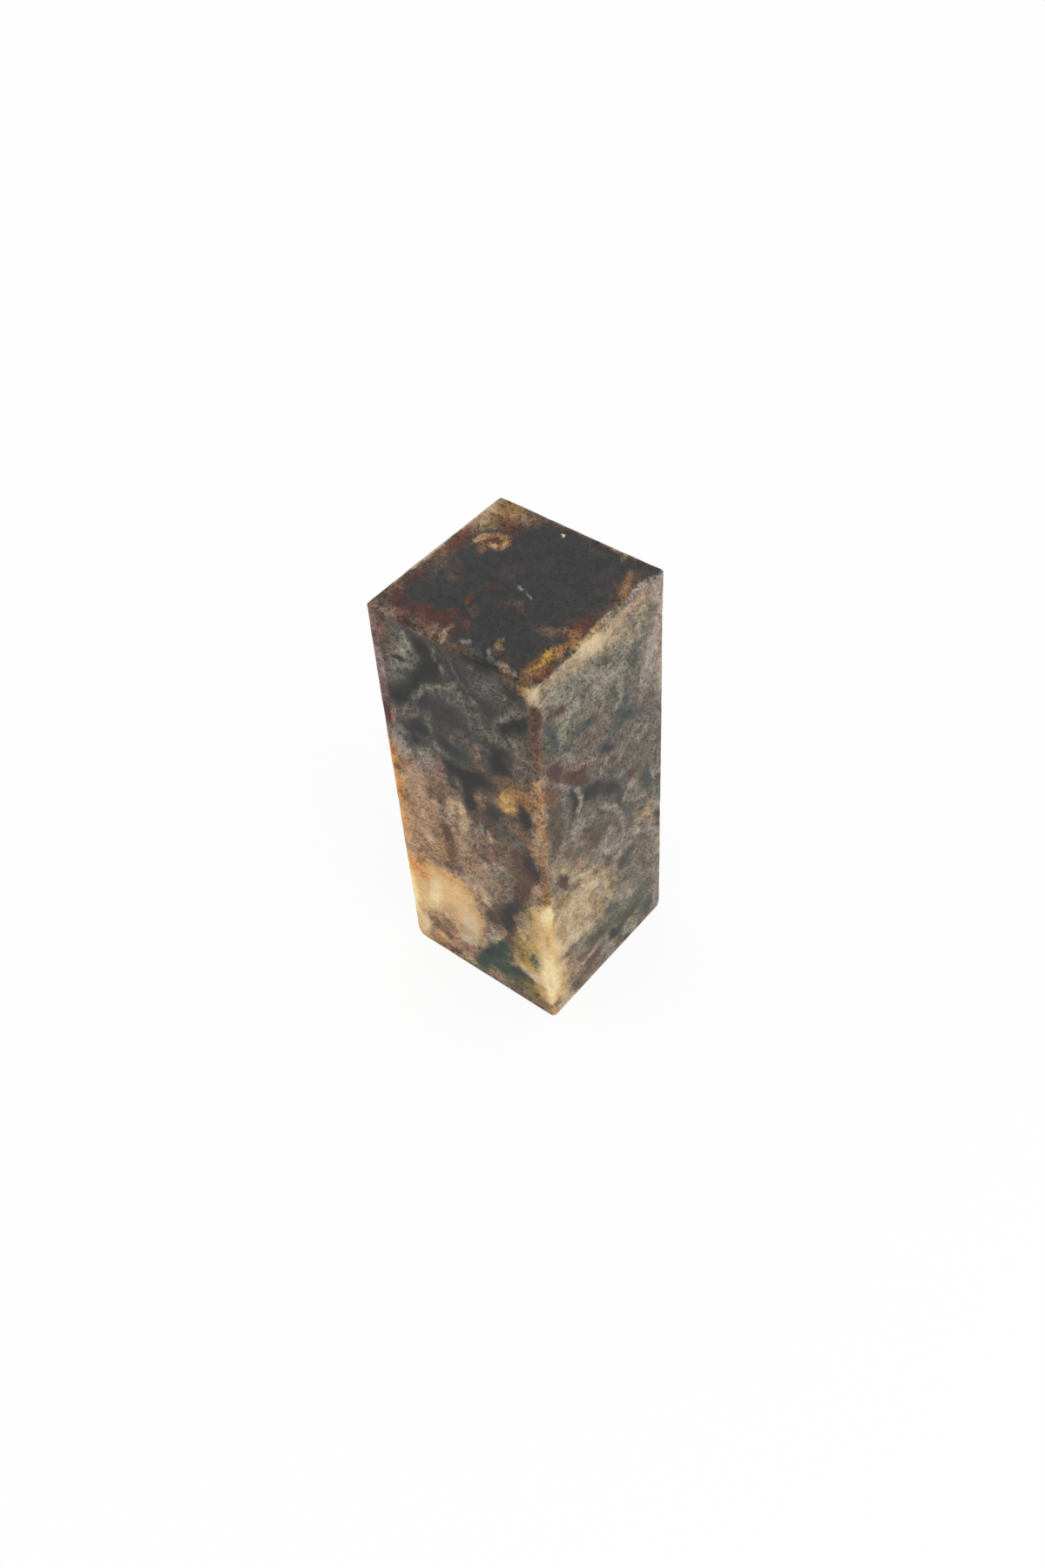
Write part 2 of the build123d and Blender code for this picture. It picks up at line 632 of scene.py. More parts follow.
# %% The recipe for the tray
def tray_recipe():
    """A flat box as wide as the border leaves, its walls leaning in and its floor cut in facets."""
    recipe = Recipe("tray")
    half = recipe.ask("half_mouth")
    low = recipe.ask("low")
    high = recipe.ask("high")
    lean = recipe.ask("lean_per_height")
    radius = recipe.ask("corner_round")
    shake = recipe.ask("knife_shake")
    slope = recipe.ask("cut_slope")

    grid = recipe.node("GeometryNodeMeshCube", sockets={
        "Size": 2,
        "Vertices X": tray_grid,
        "Vertices Y": tray_grid,
        "Vertices Z": tray_grid_up,
    })
    x, y, z = recipe.parts(recipe.node("GeometryNodeInputPosition"))
    height = (z + 1) / 2 * (high - low)
    half_here = half - lean * height
    flat = recipe.vector(x * half_here, y * half_here, 0)
    outline = square_to_round(recipe, flat, half_here, radius - lean * height)

    # each cell of the pattern is one flat cut, tilted by the cell's own random colour
    warped = outline + recipe.noise(outline, wander_waves, out="Color") * wander * mm
    cell = {"Vector": warped * cut_shape, "Scale": cuts_per_metre}
    tilt = recipe.node("ShaderNodeTexVoronoi", sockets=cell, out="Color") - 0.5
    centre = recipe.node("ShaderNodeTexVoronoi", sockets=cell, out="Position")
    away = warped * cut_shape - centre
    facet = recipe.maths("DOT_PRODUCT", tilt * sideways, away) * cut_tilt
    random = recipe.parts(tilt)[2]
    cut = (facet + random * cut_step * mm) * slope
    on_floor = recipe.maths("GREATER_THAN", z, top_layer)
    place = outline + recipe.vector(0, 0, low + height + cut * on_floor)
    cut_tray = recipe.node("GeometryNodeSetPosition", sockets={"Geometry": grid, "Position": place})
    recipe.serve(shaken(recipe, cut_tray, shake))
    return recipe


tray_rule = tray_recipe()

# %% Cooking the tray
tray_low = print_plane - overrun
lean_per_height = wall_lean / carve_depth
half_mouth = half_side - border_width + lean_per_height * overrun
tray = tray_rule.cook(
    "tray", half_mouth=half_mouth, low=tray_low, high=ground, lean_per_height=lean_per_height,
    corner_round=turn_radius, knife_shake=knife_shake, cut_slope=cut_slope,
)

# %% [markdown]
# ## The marbled stone
# This is what the piece is about. The stone grew in layers that were folded and stained, so its
# pattern is solid: it runs through the block and over every edge. A picture on each face would break
# at the edges. So the finish reads the place of a point in the block, in millimetres, and nothing
# else, and every cloud in it is a region of space.
#
# It is painted as a painter would do it, from large to small. First comes a ground of drifting
# clouds, which is all that the back, the underside and the inside have. Then the clouds, stains and
# veins that one sees on the top and the two front faces are laid over it one by one, each an
# ellipsoid with a torn edge. Some marks along the edges are partly painted highlight and glow, where
# light catches the worn edges and shines through the thin stone there. Last come the things that
# repeat everywhere: fine threads, streaks along the layers, and grain.

# %% Shader
class Shader(Steps):
    """A material that is written out in Python."""

    def __init__(self, name):
        self.material = bpy.data.materials.new(name)
        self.material.use_nodes = True
        super().__init__(self.material.node_tree)
        self.made.nodes.clear()

    def finish(self, surface):
        end = self.made.nodes.new("ShaderNodeOutputMaterial")
        self.made.links.new(surface.end, end.inputs["Surface"])
        print(self.material.name, "is written with", len(self.made.nodes), "nodes")
        return self.material


def in_light(screen_colour):
    """A colour as a screen shows it, from 0 to 1, turned into the amounts of light that nodes use."""
    return tuple(Color(screen_colour).from_srgb_to_scene_linear())


# %% [markdown]
# ## The colours of the stone
# A stone colour is easiest to name as it looks in daylight, in the 0 to 255 values of a screen. Few
# are needed: a real stone is stained by a few minerals, and each turns up again and again in it.

# %% Stone colours
stone_colours = {
    "soot": (66, 66, 66), "ink": (72, 70, 73), "charcoal": (76, 75, 72), "coal": (84, 81, 77),
    "slate": (88, 91, 89), "pine": (68, 82, 76), "moss": (90, 90, 74), "lead": (98, 97, 92),
    "bark": (96, 79, 72), "plum": (98, 78, 76), "wine": (96, 62, 57), "umber": (108, 87, 74),
    "cocoa": (103, 90, 80), "taupe": (112, 101, 93), "greenstone": (112, 109, 98),
    "flint": (114, 104, 97), "mauve": (122, 98, 92), "chestnut": (112, 76, 58),
    "earth": (126, 103, 84), "drab": (118, 105, 76), "ash": (126, 121, 110),
    "linen": (140, 129, 114), "clay": (142, 119, 103), "lilac": (146, 128, 124),
    "pearl": (144, 139, 126), "bronze": (146, 112, 76), "olive": (146, 126, 84),
    "rust": (150, 92, 62), "fawn": (158, 127, 100), "tan": (160, 133, 110), "fog": (163, 151, 140),
    "rose": (176, 145, 124), "sand": (176, 153, 124), "brass": (172, 140, 62),
    "copper": (186, 116, 64), "amber": (192, 132, 72), "wheat": (190, 163, 112),
    "gold": (204, 157, 104), "shell": (200, 182, 154), "marigold": (226, 166, 74),
    "honey": (216, 180, 132), "cream": (230, 208, 164), "butter": (245, 229, 180),
}
print(len(stone_colours), "colours of stone")

# %% [markdown]
# ## Where the marks lie
# A mark is a colour, half its width, its strength and the points that it runs through. The points
# count millimetres across the face and up it, from the middle of its foot, or from the middle of the
# top. They were placed one by one, face by face. Broad grounds go first, clouds over them, and veins
# last. A list is long but plain: to move a cloud, change its points.
#
# The front left face has a dark head, a broken middle where dark and rose stone are mixed, and a
# honey foot with one dark green vein through it.

# %% Grounds of the front left face
left_grounds = [
    ("coal", 4, 1, (-8, 48), (8, 48)), ("coal", 4, 1, (-8, 43), (8, 43)),
    ("coal", 4, 1, (-8, 38), (8, 38)), ("umber", 2, 0.7, (5, 33.4), (9.4, 33.4)),
    ("cocoa", 3, 0.9, (3, 30), (8, 24), (6.6, 18)), ("fawn", 3, 0.9, (-9, 28), (-7, 23), (-7, 18)),
    ("clay", 2.4, 0.7, (-2, 27), (-1, 19)), ("umber", 1, 0.5, (-3.4, 22), (-3, 17)),
    ("clay", 2, 0.8, (2.4, 18), (3, 14)), ("gold", 2, 0.7, (-6.6, 12.6), (-1.6, 12.6)),
    ("gold", 1.6, 0.8, (-9, 12), (-8.6, 9)), ("honey", 1.6, 0.8, (-9, 8.6), (-8.8, 5.6)),
    ("honey", 3, 0.9, (-6.6, 10), (-3, 10)), ("honey", 2.4, 0.9, (-3, 11), (-1.4, 7)),
    ("fawn", 2.2, 0.9, (-8, 4), (-2, 4)), ("fawn", 2, 0.8, (-8, 1.6), (-3, 1.6)),
    ("cocoa", 2, 0.9, (3.4, 15), (3.2, 9)), ("drab", 2, 0.9, (6.6, 3), (7.4, 1)),
    ("olive", 1.8, 0.9, (6.6, 14), (5.8, 8)), ("moss", 2.4, 0.8, (2, 4), (5, 3)),
    # honey and gold at both upright edges: partly painted glow of light through the thin edges
    ("honey", 1.4, 0.9, (9.4, 16), (9.2, 6)), ("gold", 1, 0.5, (-9.6, 31), (-9.4, 18)),
    ("rose", 1.4, 0.4, (-6.6, 28), (-6.4, 19)),
]
print(len(left_grounds), "grounds of the left face")

# %% The dark head of the front left face
left_head = [
    # the ash cloud at the left
    ("umber", 1, 0.7, (-8.8, 49.4), (-8, 46.5)), ("taupe", 1, 0.6, (-8.2, 44.5), (-7.8, 42)),
    ("ash", 0.8, 0.7, (-5.2, 48), (-5.5, 46.4), (-6.8, 46)),
    ("ash", 0.45, 0.7, (-8, 43.1), (-6.6, 44.1), (-4.9, 44.7)),
    ("greenstone", 0.7, 0.5, (-3.8, 46.6), (-4.4, 45.6)), ("lead", 0.8, 0.7, (-8, 42.2), (-6.6, 43)),
    ("soot", 0.4, 0.9, (-6.9, 44.8), (-5.9, 45.2)), ("lead", 1, 0.5, (-6.5, 47.6), (-4.2, 48.6)),
    # the strip down the left edge
    ("mauve", 0.8, 0.9, (-9.6, 49), (-9.5, 45)), ("lilac", 0.6, 0.9, (-9.5, 44.4), (-9.3, 41)),
    ("mauve", 0.7, 0.9, (-9.6, 41), (-9.4, 38)), ("wine", 0.5, 0.9, (-9.4, 37.3), (-9.2, 34.6)),
    ("clay", 0.35, 0.8, (-8.7, 35), (-8.3, 37.2)), ("plum", 0.5, 0.6, (-8.6, 44.2), (-8.2, 43.6)),
    # dark clouds across
    ("soot", 1.1, 0.95, (-7.6, 38.9), (-5.8, 40.2), (-3.6, 43.6), (-1.8, 46)),
    ("soot", 0.9, 0.9, (-4, 48.4), (-1.8, 46.5)), ("ink", 0.9, 0.8, (0.4, 47.4), (2, 45)),
    ("soot", 1.2, 0.95, (2.2, 50), (4.5, 49)), ("soot", 0.8, 0.8, (6.4, 47.8), (8, 47.6)),
    ("ink", 0.9, 0.7, (2.6, 45.2), (5.2, 43.4)), ("lead", 1.2, 0.7, (3.4, 46.2), (5.2, 47.6)),
    ("lead", 0.9, 0.8, (-2.6, 42.6), (0.2, 43.2), (2.4, 42.8)),
    ("greenstone", 0.6, 0.5, (-0.8, 43.2), (1.4, 43.4)), ("ink", 1.8, 0.6, (-2.4, 40.6), (0.8, 39)),
    ("slate", 0.8, 0.4, (-1.6, 38.8), (0.6, 37.4)), ("slate", 0.6, 0.5, (-4.4, 37.4), (-3.8, 35.6)),
    ("ink", 0.6, 0.7, (-4, 41), (-3.6, 40)), ("soot", 0.9, 0.95, (6.2, 41.8), (7.6, 43.6), (9, 45.2)),
    ("taupe", 0.8, 0.8, (7.8, 41.8), (8, 39.6), (7.4, 37.8)),
    ("greenstone", 0.8, 0.5, (3.4, 41), (5.6, 40.4)), ("slate", 0.9, 0.5, (2.2, 39.6), (3.6, 37.8)),
    ("ash", 0.35, 0.5, (6.8, 41.4), (7.4, 40.2)), ("taupe", 0.7, 0.5, (0.6, 38.6), (1.6, 37.2)),
    # the near edge and the top edge: the pale near top corner and the grey strip on the edge
    # are partly painted highlight where the worn edges catch the light
    ("bark", 0.6, 0.8, (9.6, 46.6), (9.9, 44.8)), ("bark", 0.5, 0.6, (9.8, 44.4), (9.6, 42.8)),
    ("plum", 0.5, 0.5, (9.9, 42.8), (9.5, 41)), ("cocoa", 0.7, 0.7, (9.2, 41.2), (9.7, 39.6)),
    ("mauve", 0.4, 0.5, (9.6, 39.4), (9.4, 38)), ("taupe", 0.4, 0.7, (10, 46.4), (10, 42)),
    ("flint", 0.4, 0.7, (10, 42), (10, 38)), ("umber", 0.6, 0.7, (6, 50), (7.4, 48.8)),
    ("wheat", 0.7, 0.8, (10, 49.8), (9.6, 48.8)), ("shell", 0.4, 0.6, (10, 49), (10, 47.8)),
    ("tan", 0.5, 0.7, (9.5, 48.6), (9.8, 47.6)), ("bronze", 0.5, 0.7, (8.6, 48.6), (9, 49.6)),
    ("umber", 0.5, 0.8, (-8, 50), (-4, 49.8), (1, 49.9)), ("tan", 0.4, 0.7, (-3.4, 49.4), (-3.1, 50)),
    # below them
    ("soot", 0.9, 0.9, (4.9, 39.2), (5.2, 37), (5.8, 35.6)), ("soot", 1, 0.9, (-5.8, 36.4), (-4, 36.6)),
    ("soot", 0.9, 0.9, (-6.8, 35), (-6, 33.8)), ("ink", 0.8, 0.9, (-2.2, 36.2), (0, 35.8)),
    ("taupe", 0.6, 0.8, (-8, 36), (-6.4, 37.6), (-5.4, 38.8)),
    ("clay", 0.5, 0.6, (2.7, 37.8), (2.4, 36.4)), ("mauve", 0.5, 0.6, (2.9, 35.8), (2.6, 35)),
    ("ash", 0.5, 0.6, (-3, 35), (-2.5, 34)), ("greenstone", 0.8, 0.8, (-8.6, 33.6), (-7.2, 34.4)),
    ("earth", 1, 0.8, (6, 35), (9.2, 35.2)), ("fawn", 0.6, 0.7, (9.9, 37.4), (9.6, 36)),
    ("earth", 0.6, 0.7, (9.5, 36), (9.8, 34.4)), ("pine", 0.4, 0.7, (-0.4, 34.8), (0.8, 35.6)),
]
print(len(left_head), "clouds in its head")

# %% The broken middle of the front left face
left_middle = [
    ("soot", 1.2, 0.95, (-2.2, 33.2), (0.6, 32.6), (3, 33.8)),
    ("charcoal", 0.8, 0.9, (-1.9, 31.6), (-0.6, 30.4)),
    ("soot", 0.9, 0.95, (0.6, 32), (0.9, 29.8), (0.8, 28.4)),
    ("mauve", 0.5, 0.6, (2.8, 31.6), (2.2, 30.6)), ("bronze", 1.1, 0.7, (5.2, 32), (7, 33.6)),
    ("wheat", 1, 0.5, (5.6, 32.1), (6.4, 32.9)), ("gold", 0.7, 0.5, (5, 31.8), (5.6, 33.2)),
    ("bronze", 0.7, 0.6, (8, 34.4), (9.2, 33.4)), ("soot", 0.9, 0.9, (8, 32.6), (8.4, 30.6)),
    ("charcoal", 0.8, 0.9, (3.2, 30.4), (4.2, 29.8), (3, 28.8)),
    ("slate", 0.6, 0.8, (4, 28), (4.6, 26.8)), ("umber", 0.9, 0.6, (7.6, 29), (8.4, 27.6)),
    ("lead", 0.6, 0.7, (5.6, 27.6), (7, 27.4), (6.4, 26.2)),
    ("bark", 0.9, 0.7, (6.6, 25.2), (7.4, 23.6)), ("ink", 0.9, 0.9, (8.2, 25.6), (8.6, 23)),
    # the near edge: its warm pale strip is partly painted highlight along the rounded edge
    ("tan", 0.5, 0.8, (9.9, 34), (9.5, 32)), ("fawn", 0.6, 0.8, (9.8, 31.6), (9.7, 29.8)),
    ("tan", 0.55, 0.7, (9.5, 29.2), (9.2, 27.6)), ("fawn", 0.5, 0.7, (9.6, 27.6), (9.7, 26)),
    ("umber", 0.3, 0.6, (9.5, 31.4), (9.3, 30.2)), ("earth", 0.6, 0.8, (9.7, 25.6), (9.7, 22.6)),
    ("tan", 0.6, 0.7, (9.2, 22), (8.6, 20)), ("bark", 0.4, 0.8, (9.4, 19.9), (9.9, 19.6)),
    ("cream", 0.6, 0.7, (9.9, 17.6), (9.9, 15.6)), ("wheat", 0.7, 0.5, (8.8, 17.8), (8.8, 16)),
    ("umber", 0.5, 0.8, (1.2, 27.8), (1, 26.8)), ("bark", 1, 0.7, (-4.6, 27.2), (-3, 27)),
    ("earth", 1, 0.7, (-4.8, 29), (-2, 29.4)), ("cocoa", 0.9, 0.6, (-5, 30.4), (-3, 28)),
    ("clay", 1.2, 0.6, (-1.4, 27), (-1.2, 24.6)),
    ("sand", 0.5, 0.75, (-2.4, 24.6), (-2.3, 26), (-2, 27.5),
     (-1.1, 28), (-0.4, 27.2), (-0.3, 25.8), (-0.8, 24)),
    ("ash", 0.6, 0.7, (1.2, 25.2), (2, 26)), ("bark", 0.9, 0.7, (2.8, 28.2), (3.8, 26.2)),
    ("rose", 0.35, 0.5, (3.2, 25.9), (3.3, 24.7)), ("mauve", 1, 0.8, (1.6, 24), (3.2, 23), (2.4, 21.6)),
    ("plum", 0.5, 0.8, (0.8, 21.8), (2, 21)), ("bark", 0.7, 0.9, (-3.4, 23), (-2.9, 21.4)),
    ("umber", 0.7, 0.8, (-3, 20.4), (-2.8, 17)),
    ("tan", 0.8, 0.6, (-1.1, 22.4), (-0.8, 20), (-0.9, 18)), ("rose", 0.5, 0.5, (-4.5, 25), (-4.2, 26)),
    ("lilac", 0.9, 0.5, (-5.4, 31), (-4.8, 32.4)), ("mauve", 0.7, 0.6, (-3.5, 31.2), (-3, 32.8)),
    ("slate", 0.7, 0.8, (-7, 33.4), (-6.2, 32.2)), ("fog", 0.8, 0.6, (-8.2, 32.6), (-7.5, 31.4)),
    ("earth", 0.6, 0.6, (-8.4, 29.8), (-7, 30)), ("rose", 1, 0.5, (-7.4, 28.4), (-6, 28.6)),
    ("rose", 1, 0.4, (-8, 26.6), (-6.4, 26)), ("earth", 0.8, 0.5, (-8.2, 23.6), (-7.2, 22.8)),
    ("earth", 0.9, 0.5, (-5.4, 24.6), (-4.6, 23)), ("umber", 0.6, 0.4, (-7.6, 20.2), (-7, 18.6)),
    # the left edge: amber, honey and gold, partly painted glow of light through the thin edge
    ("amber", 0.6, 0.8, (-9.7, 31), (-9.5, 28), (-9.6, 24.4)),
    ("honey", 0.3, 0.8, (-9.95, 33), (-9.95, 24)), ("umber", 0.4, 0.8, (-9.2, 28.6), (-8.8, 28)),
    ("rust", 0.4, 0.6, (-9.5, 31.4), (-9.4, 30.6)), ("rust", 0.5, 0.5, (-9.5, 24.6), (-9, 24)),
    ("gold", 0.7, 0.7, (-9.7, 23), (-9.6, 17)), ("earth", 0.5, 0.6, (-4.6, 21.8), (-4.4, 20.2)),
    ("olive", 0.7, 0.4, (-4.2, 19.6), (-3.8, 17.6)), ("sand", 0.6, 0.5, (-6.4, 20.2), (-5.6, 19.4)),
    ("sand", 0.8, 0.3, (0.6, 17.2), (2.2, 18.2)), ("earth", 0.9, 0.6, (-0.6, 18.6), (0.4, 20.6)),
    ("ash", 0.7, 0.6, (2.8, 20), (4.2, 20.6)), ("ash", 0.7, 0.6, (4.4, 18.4), (5, 16.8)),
    ("bark", 0.8, 0.8, (8, 22.6), (7, 20), (6.2, 17.4)),
]
print(len(left_middle), "clouds in its middle")

# %% The honey foot of the front left face
left_foot = [
    ("rose", 0.9, 0.7, (-9, 17), (-8.8, 15.2)), ("bronze", 0.6, 0.6, (-7.9, 15.4), (-7, 14.2)),
    ("earth", 0.9, 0.8, (-7, 16.8), (-3.6, 17)), ("clay", 0.7, 0.7, (-6.4, 16), (-3, 16)),
    ("bark", 0.5, 0.8, (-3.8, 16.8), (-3, 16.4)), ("bark", 0.5, 0.7, (-2, 17), (-1, 16.6)),
    ("gold", 0.5, 0.35, (-5.8, 14.2), (-3.6, 15), (-1.8, 14.6), (-0.4, 13.4)),
    # down the left edge, the marigold here and the butter and honey below are partly painted glow
    ("marigold", 0.6, 0.9, (-9.8, 14), (-9.6, 8)), ("copper", 0.8, 0.6, (-8.8, 13.8), (-7.8, 12.2)),
    ("rust", 0.5, 0.4, (-8, 14.8), (-7.4, 13.8)), ("amber", 0.5, 0.6, (-7, 12.4), (-6.4, 13.8)),
    ("honey", 0.9, 0.6, (-6.2, 13.2), (-3.6, 12.4), (-1.6, 12.8)),
    ("cream", 0.9, 0.7, (-7, 7.8), (-6.4, 9.6), (-5.8, 11.6)),
    ("shell", 0.9, 0.7, (-1.9, 10), (-1.4, 7.6), (-1.3, 5.8)),
    ("shell", 0.8, 0.7, (-1.6, 5.4), (-2.6, 4.6)), ("butter", 0.7, 0.8, (-9.9, 11), (-9.8, 3.6)),
    ("honey", 0.8, 0.7, (-8.6, 7.4), (-8.2, 5.6)), ("rose", 0.8, 0.6, (-4.8, 7.4), (-3.6, 8.6)),
    ("clay", 0.9, 0.5, (-5.4, 6.2), (-4.4, 5)), ("clay", 0.8, 0.4, (-6.6, 6.2), (-5.6, 6)),
    ("sand", 0.9, 0.5, (-2.6, 6.4), (-0.6, 6)), ("earth", 0.9, 0.8, (-7.4, 5), (-6, 4.2), (-4.4, 3.2)),
    ("cream", 0.9, 0.8, (-8.6, 3.8), (-9, 1.6)), ("honey", 0.7, 0.7, (-9.6, 4.4), (-9.6, 1)),
    ("wheat", 0.6, 0.7, (-6.4, 2.6), (-5.2, 2.4)), ("bronze", 0.5, 0.8, (-6.8, 1.2), (-5.4, 0.8)),
    ("gold", 0.4, 0.7, (-9, 0.8), (-8, 0.6)), ("bark", 0.5, 0.9, (-5, 0.8), (-3.8, 1.3)),
    ("mauve", 0.7, 0.7, (-2.4, 3.4), (-1.4, 2.4)), ("sand", 0.6, 0.7, (-3, 1.4), (-2, 0.9)),
    ("sand", 0.8, 0.6, (-0.6, 15.6), (1.4, 15.6), (1.7, 14)),
    ("ash", 0.7, 0.6, (3.1, 15.6), (2.8, 16.8)), ("clay", 0.6, 0.7, (0.6, 12.6), (0.9, 11.2)),
    # the dark green vein
    ("charcoal", 0.9, 0.95, (6.4, 17), (5.6, 15.6), (5, 14.4)),
    ("soot", 1.2, 0.95, (4.9, 14.4), (4.1, 12.8)), ("soot", 0.6, 0.9, (3.8, 12.6), (4.6, 11.2)),
    ("bark", 0.7, 0.9, (2.4, 12.8), (2.3, 11)), ("bark", 0.5, 0.9, (4.6, 11), (4.3, 9)),
    ("clay", 0.9, 0.7, (1, 7.4), (1.8, 8.8), (3, 10)), ("pearl", 0.5, 0.6, (1.4, 7.6), (2.6, 9.2)),
    ("pine", 1.1, 0.95, (3.9, 8.4), (3, 6.8), (1.6, 5), (0.4, 3), (-0.1, 1.2)),
    ("soot", 0.6, 0.7, (2.2, 6), (1.2, 4.6)), ("tan", 0.5, 0.5, (0.3, 5.8), (0.7, 7)),
    ("pine", 0.9, 0.9, (2.2, 3.2), (4, 3)), ("pine", 0.9, 0.7, (3.2, 4.8), (5, 4.2), (6.8, 4.6)),
    ("charcoal", 0.5, 0.8, (4.2, 4.4), (5.8, 4.6)), ("bark", 0.45, 0.9, (6.6, 4.9), (7.2, 4.3)),
    # what lies right of it
    ("brass", 0.7, 0.5, (5.9, 6.6), (7.4, 7.2)), ("drab", 0.7, 0.7, (5.2, 10.6), (5.6, 8)),
    ("brass", 0.6, 0.3, (6.4, 9.8), (6.8, 8.4)), ("slate", 0.9, 0.95, (8.3, 9.2), (8.1, 8)),
    ("moss", 1.2, 0.4, (8.2, 9), (8, 8.2)), ("shell", 0.5, 0.6, (5.9, 5.9), (7.6, 5.7), (9, 5.2)),
    ("cream", 0.9, 0.6, (9, 6.6), (9.2, 10.4)), ("brass", 0.9, 0.35, (8, 13.6), (8.6, 9.8)),
    # butter and cream on the near edge: partly painted glow and highlight where light catches the edge
    ("butter", 0.8, 0.85, (10, 3.4), (10, 9)), ("cream", 0.8, 0.7, (10, 9), (10, 15)),
    ("sand", 0.5, 0.8, (6, 12.8), (6.3, 11.6)), ("sand", 0.8, 0.6, (7, 14.8), (7.6, 12.2)),
    ("honey", 0.7, 0.5, (8.8, 16), (9, 11.6)), ("olive", 0.8, 0.5, (7.6, 16.4), (8.4, 13.6)),
    ("clay", 0.6, 0.7, (6.3, 15), (5.9, 13.6)), ("gold", 0.5, 0.7, (8.2, 3.8), (9.2, 3.2)),
    ("drab", 0.8, 0.8, (6.2, 2.8), (8, 2.2)), ("umber", 0.6, 0.8, (8, 1.4), (9.6, 1.4)),
    ("taupe", 0.5, 0.7, (4.8, 1.4), (6.2, 1.6)), ("clay", 0.6, 0.6, (1.6, 1.2), (3, 1.6)),
    ("bark", 0.4, 0.8, (4.1, 0.9), (4.8, 0.8)), ("moss", 0.35, 0.8, (-3, 0.2), (3, 0.3)),
    ("bark", 0.35, 0.8, (4, 0.2), (9.4, 0.3)),
]
print(len(left_foot), "clouds in its foot")
left_clouds = left_head + left_middle + left_foot

# %% Veins of the front left face
left_veins = [
    ("lead", 0.4, 0.8, (-6.6, 37.6), (-5.5, 39.4), (-4.8, 41)),
    ("ash", 0.26, 0.7, (-4.9, 40.8), (-3.6, 42.5), (-2, 43.6)),
    ("ash", 0.24, 0.6, (-2, 43.6), (-0.4, 44.5), (0.4, 45.2)),
    ("ash", 0.3, 0.6, (0.2, 44.8), (0.6, 45.4)), ("ash", 0.35, 0.5, (0.9, 44.6), (1.2, 44.2)),
    ("ash", 0.3, 0.5, (-1, 46.6), (-0.9, 46)), ("ash", 0.25, 0.5, (-1.9, 48.2), (-1.8, 47.3)),
    ("lead", 0.25, 0.7, (0.2, 47.8), (1, 46.3), (1.8, 45.3)),
    ("ash", 0.25, 0.5, (2.4, 44.4), (2.8, 44.2)), ("ash", 0.3, 0.6, (5.2, 42.8), (6.2, 44), (7, 45)),
    ("ash", 0.4, 0.6, (7, 45), (8.4, 46)), ("ash", 0.3, 0.5, (6.4, 46.4), (6.6, 47)),
    ("ash", 0.25, 0.5, (2.7, 48.2), (2.9, 48.8)),
    ("greenstone", 0.35, 0.6, (-3.4, 39.2), (-3.7, 38), (-3.5, 36.6)),
    ("greenstone", 0.25, 0.6, (1.9, 41.8), (2, 40.6)),
    ("greenstone", 0.25, 0.6, (3.2, 42), (3.1, 39.8)), ("ash", 0.22, 0.5, (4.9, 41.6), (5.2, 40.2)),
    ("mauve", 0.3, 0.6, (-0.9, 37), (-0.5, 37.6)), ("lead", 0.3, 0.8, (-1, 31.3), (-0.3, 30.6)),
    ("lead", 0.25, 0.8, (4.8, 29.4), (5.3, 28.6)), ("fog", 0.25, 0.5, (-7.2, 28.9), (-6.4, 28.3)),
    ("pearl", 0.25, 0.6, (-5.2, 48.4), (-5, 47.2)), ("pearl", 0.25, 0.6, (-6.6, 46.4), (-5.4, 45.8)),
    ("shell", 0.25, 0.5, (1.4, 14.4), (1.8, 13.8)), ("shell", 0.3, 0.6, (2.4, 8.2), (3.4, 9.6)),
    ("bronze", 0.3, 0.5, (-6.6, 1.6), (-5.8, 1.8)), ("umber", 0.25, 0.6, (6.4, 30.6), (6, 29.4)),
    ("bark", 0.3, 0.6, (-8.4, 25.4), (-8, 24.4)),
]
print(len(left_veins), "veins of the left face")

# %% [markdown]
# ## Marks of the front right face
# This face is calmer. Its head is a wide ring of ash and linen, a chain of dark spots with pale
# curls round them crosses its middle, and its foot is pale at the near edge, partly painted glow and
# highlight, and dark at the far one.

# %% Grounds of the front right face
right_grounds = [
    ("linen", 4, 1, (-8, 48), (8, 48)), ("greenstone", 4, 1, (-8, 41), (7, 41)),
    ("ash", 2, 0.6, (-6, 45.6), (5, 45)), ("flint", 3, 1, (-8, 35), (9.6, 35)),
    ("flint", 3, 1, (-8, 29), (9.6, 29)), ("flint", 3, 1, (-6, 23), (9.6, 23)),
    ("lead", 2, 0.6, (-4, 29), (3, 27)), ("linen", 2.2, 0.8, (-9, 25), (-5, 21)),
    ("sand", 2.2, 0.7, (-7, 18), (-2, 17)), ("lead", 2.4, 0.5, (-2, 24), (8, 22)),
    ("lead", 2.4, 0.5, (-7, 30), (8, 30)), ("ash", 2.4, 0.8, (1, 18), (5, 17)),
    ("sand", 3.2, 0.9, (-8, 15), (-4, 12)), ("sand", 2.4, 0.9, (-3, 14), (-2, 10)),
    ("flint", 4, 0.9, (4, 14), (8, 10)), ("ash", 2, 0.8, (1, 10), (4, 9)),
    ("linen", 2.4, 0.45, (-3, 11), (5, 11)), ("greenstone", 3, 0.9, (-2, 5), (8, 4)),
    ("ash", 1.6, 0.8, (-6, 8), (-4, 7)), ("clay", 2, 0.8, (-7, 5), (-5, 3)),
    ("flint", 1.2, 0.9, (-4, 0.8), (9, 0.8)), ("fog", 1.4, 0.7, (9.6, 47), (9.6, 36)),
    ("ash", 1.4, 0.8, (9.6, 35), (9.6, 17)), ("pearl", 1.2, 0.8, (9.8, 16), (9.8, 1)),
    # gold at the near edge: partly painted glow of light through the thin edge
    ("gold", 0.9, 0.9, (-9.8, 17), (-9.6, 3)),
]
print(len(right_grounds), "grounds of the right face")

